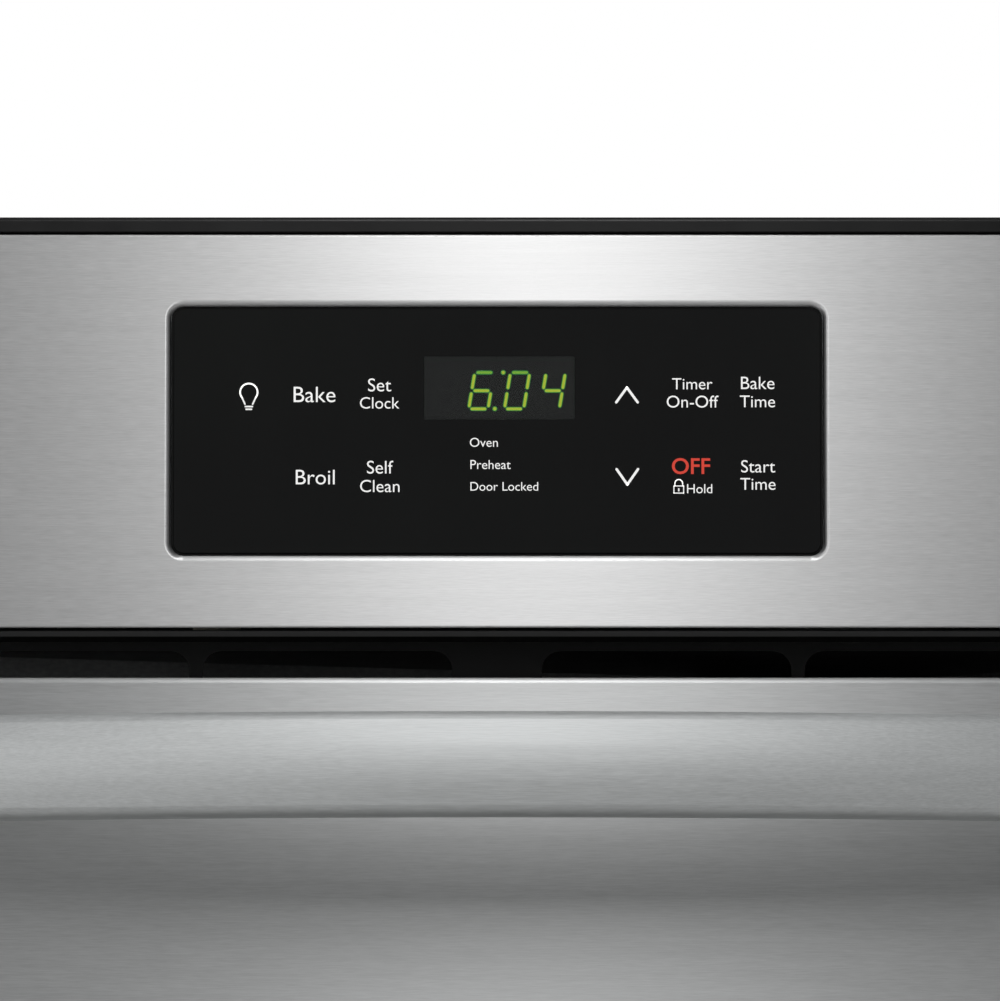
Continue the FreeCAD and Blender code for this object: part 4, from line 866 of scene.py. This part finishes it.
def hood_louvres():
    """Hoods over the two columns of slots in the back panel."""
    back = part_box("back_panel")[1][1] - 0.05 * MM
    column_x, lowest, pitch, rows = 110, 592.2, 14, 6
    points = [((side * column_x * MM, back, (lowest + pitch * row) * MM), 1.0, 1.0)
              for side in (-1, 1) for row in range(rows)]
    shape = linked("louvre_shape", louvre_shape(width=121.0, height=6.4, depth=1.8))
    wall = shape.modifiers.new("sheet", "SOLIDIFY")
    wall.thickness, wall.offset = 0.6 * MM, -1
    mesh = run_tree("louvre_hoods", points, {"Shape": "NodeSocketObject"}, given_shape,
                    {"Shape": shape, "Most spin": 0.0, "Seed": 0, "Finish": GALVANISED})
    bpy.data.objects.remove(shape)
    piece("louvre_hoods", smooth(mesh, 50), "chassis", GALVANISED)


# ---------------------------------------------------------- seals and blankets
def rounded_path(half_x, low, high, r, step):
    """Closed path in the plane of the front: (x, z, outward x, outward z), in millimetres."""
    corners = ((half_x - r, high - r), (r - half_x, high - r), (r - half_x, low + r), (half_x - r, low + r))
    points = []
    for k, (cx, cz) in enumerate(corners):
        count = max(4, round(math.pi / 2 * r / step))
        for i in range(count + 1):
            a = math.pi / 2 * (k + i / count)
            points.append((cx + r * math.cos(a), cz + r * math.sin(a), math.cos(a), math.sin(a)))
        way = (math.cos(a), math.sin(a))
        here = Vector(points[-1][:2])
        there = Vector(corners[(k + 1) % 4]) + r * Vector(way)
        runs = round((there - here).length / step)
        for i in range(1, runs):
            x, z = here.lerp(there, i / runs)
            points.append((x, z, *way))
    return points


def ring_tube(name, path, section, y, relief):
    """Closed tube whose section of (outward, depth) points follows a path.

    The relief gives each point's rise in millimetres from the way run and the share of
    a turn round the section; it is kept as the point's 'strand' too.
    """
    bm = bmesh.new()
    strand = bm.verts.layers.float.new("strand")
    rings, run = [], 0.0
    for k, (x, z, ox, oz) in enumerate(path):
        run += math.hypot(x - path[k - 1][0], z - path[k - 1][1]) if k else 0.0
        ring = []
        for j, (out, depth) in enumerate(section):
            rise = relief(run, j / len(section))
            grow = 1 + rise / max(math.hypot(out, depth), 0.5)
            v = bm.verts.new(((x + ox * out * grow) * MM, (y + depth * grow) * MM,
                              (z + oz * out * grow) * MM))
            v[strand] = rise
            ring.append(v)
        rings.append(ring)
    count = len(section)
    for a, b in zip(rings, rings[1:] + rings[:1]):
        for j in range(count):
            n = (j + 1) % count
            bm.faces.new((a[j], a[n], b[n], b[j]))
    return as_mesh(bm, name)


def braid_gasket():
    """Door gasket: a braided tube clipped round the mouth of the cavity."""
    (x0, y0, z0), (x1, y1, z1) = [[c / MM for c in corner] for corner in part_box("door_gasket")]
    half_w, half_t = 5.8, (y1 - y0) / 2 - 0.25
    path = rounded_path(x1 - 6.0, z0 + 6.0, z1 - 6.0, r=20.0, step=1.0)
    section, sides, squareness = [], 28, 0.8
    for k in range(sides):
        a = math.tau * k / sides
        section.append((half_w * math.copysign(abs(math.cos(a)) ** squareness, math.cos(a)),
                        half_t * math.copysign(abs(math.sin(a)) ** squareness, math.sin(a))))

    def braid(run, share):
        """Seven strands each way round, each turning once in the lead."""
        lead, ends = 5.6, 7
        left = math.cos(math.tau * (run / lead + share * ends))
        right = math.cos(math.tau * (run / lead - share * ends))
        return 0.32 * max(left, right) - 0.2
    mesh = ring_tube("gasket_braid", path, section, (y0 + y1) / 2, braid)
    made = piece("gasket_braid", smooth(mesh), "chassis", BRAID)
    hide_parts("door_gasket")


def seal_touch_glass():
    """Black foam strip that fills the gap between the touch glass and the fascia; its dead black is painted
    shade for that gap.
    """
    (x0, y0, z0), (x1, y1, z1) = [[c / MM for c in corner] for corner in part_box("touch_glass")]
    gap, sides = 0.5, 8
    path = rounded_path((x1 - x0) / 2 + gap, z0 - gap, z1 + gap, r=4.0, step=4.0)
    section = [(0.46 * math.cos(math.tau * k / sides), 0.7 * math.sin(math.tau * k / sides))
               for k in range(sides)]
    mesh = ring_tube("glass_seal", path, section, y0 + 1.6, lambda run, share: 0.0)
    piece("glass_seal", smooth(mesh), "chassis", GAP_SHADE_FOAM)


def fluffed(name, node, body):
    """Fibre pad inside the space of its CAD solid: soft edges, and a slow wave with a finer one on it."""
    sunk, swell, wave_mm, ripple_mm = 2.4, 1.5, 45, 14
    holder = linked(name, as_mesh(welded_copy(node), name, settle=False))
    skin = holder.modifiers.new("skin", "REMESH")
    skin.mode, skin.voxel_size = "VOXEL", 8 * MM
    ease = holder.modifiers.new("ease", "SMOOTH")
    ease.factor, ease.iterations = 0.5, 5
    pad = plain_mesh(holder)
    normals = [Vector(n.vector) for n in pad.vertex_normals]
    for v, normal in zip(pad.vertices, normals):
        wave = noise.noise(v.co / (wave_mm * MM)) + 0.4 * noise.noise(v.co / (ripple_mm * MM))
        v.co -= normal * (sunk + swell * wave) * MM
    made = piece(name, smooth(pad), body, FIBRE)
    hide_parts(node)


# ---------------------------------------------------------------------- stage
def set_stage():
    """Pale floor with a low step under the oven, so that the open door clears the floor."""
    step, low, far = 0.0, -0.06, 14.0
    bm = bmesh.new()

    def ring(x0, x1, y0, y1, z):
        return [bm.verts.new((x, y, z)) for x, y in ((x0, y0), (x1, y0), (x1, y1), (x0, y1))]
    plinth = (-0.42, 0.42, 0.004, 0.62)
    outer, foot, top = ring(-far, far, -far, far, low), ring(*plinth, low), ring(*plinth, step)
    for k in range(4):
        n = (k + 1) % 4
        bm.faces.new((outer[k], outer[n], foot[n], foot[k]))
        bm.faces.new((foot[k], foot[n], top[n], top[k]))
    bm.faces.new(top)
    floor = linked("studio_floor", as_mesh(bm, "studio_floor"))
    floor.data.materials.append(FLOOR_PAINT)


def area_light(name, place, target, size, size_y, power):
    """Soft box of a size in metres and a power in watts, hidden from the camera."""
    data = bpy.data.lights.new(name, "AREA")
    data.shape = "RECTANGLE"
    data.size, data.size_y = size, size_y
    data.energy = power
    lamp = linked(name, data)
    lamp.location = place
    lamp.rotation_euler = (Vector(target) - Vector(place)).to_track_quat("-Z", "Y").to_euler()
    lamp.visible_camera = False


def set_lights():
    """White surroundings that light little, a strip over the panel, and soft boxes all round."""
    world = bpy.data.worlds.new("studio")
    bpy.context.scene.world = world
    world.use_nodes = True
    tree = world.node_tree
    tree.nodes.clear()
    seen = put(tree, "ShaderNodeBackground", {"Color": (1, 1, 1, 1), "Strength": 1.0})
    room = put(tree, "ShaderNodeBackground", {"Color": linear("#eef0f2"), "Strength": 0.12})
    ray = put(tree, "ShaderNodeLightPath")
    mix = put(tree, "ShaderNodeMixShader", links={
        0: ray.outputs["Is Camera Ray"], 1: room.outputs[0], 2: seen.outputs[0]})
    put(tree, "ShaderNodeOutputWorld", links={"Surface": mix.outputs[0]})
    area_light("strip_key", (0.012, -1.0, 1.31), (0.012, 0, 0.62), 0.10, 0.78, 3.8)
    area_light("left_soft", (-1.3, -2.2, 1.1), (0, 0, 0.55), 1.1, 1.8, 11.0)
    area_light("right_soft", (1.3, -2.2, 1.1), (0, 0, 0.55), 1.1, 1.8, 3.6)
    area_light("top_soft", (0, -0.2, 2.6), (0, 0.1, 0.4), 2.4, 2.0, 4.0)
    area_light("rear_left_soft", (-1.9, 2.3, 3.3), (0, 0.4, 0.4), 2.2, 2.2, 42.0)
    area_light("rear_right_soft", (2.3, 1.9, 3.0), (0, 0.4, 0.4), 2.2, 2.2, 32.0)
    scene = bpy.context.scene
    scene.view_settings.view_transform = "Standard"
    scene.view_settings.look = "None"


def set_camera():
    """Long lens a little over three metres off, level with the oven's middle, tipped up at the panel."""
    data = bpy.data.cameras.new("camera")
    camera = linked("camera", data)
    distance, field, sensor = 3.2, 0.350, 36
    across, eye_z, panel_z = 0.00105, 0.368, 0.6376
    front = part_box("control_fascia")[0][1]
    camera.location = (across, front - distance, eye_z)
    target = Vector((across, front, panel_z))
    camera.rotation_euler = (target - camera.location).to_track_quat("-Z", "Y").to_euler()
    data.sensor_width = sensor
    data.lens = sensor * (target - camera.location).length / field
    data.clip_end = 100
    bpy.context.scene.camera = camera


set_camera()
set_lights()
set_stage()
dress_cad_nodes()
print_legends()
light_display()
print_door_glass()
lay_screws()
coil_springs()
hood_louvres()
braid_gasket()
seal_touch_glass()
fluffed("cavity_blanket", "insulation_blanket", "chassis")
fluffed("door_blanket", "door_insulation", "door")
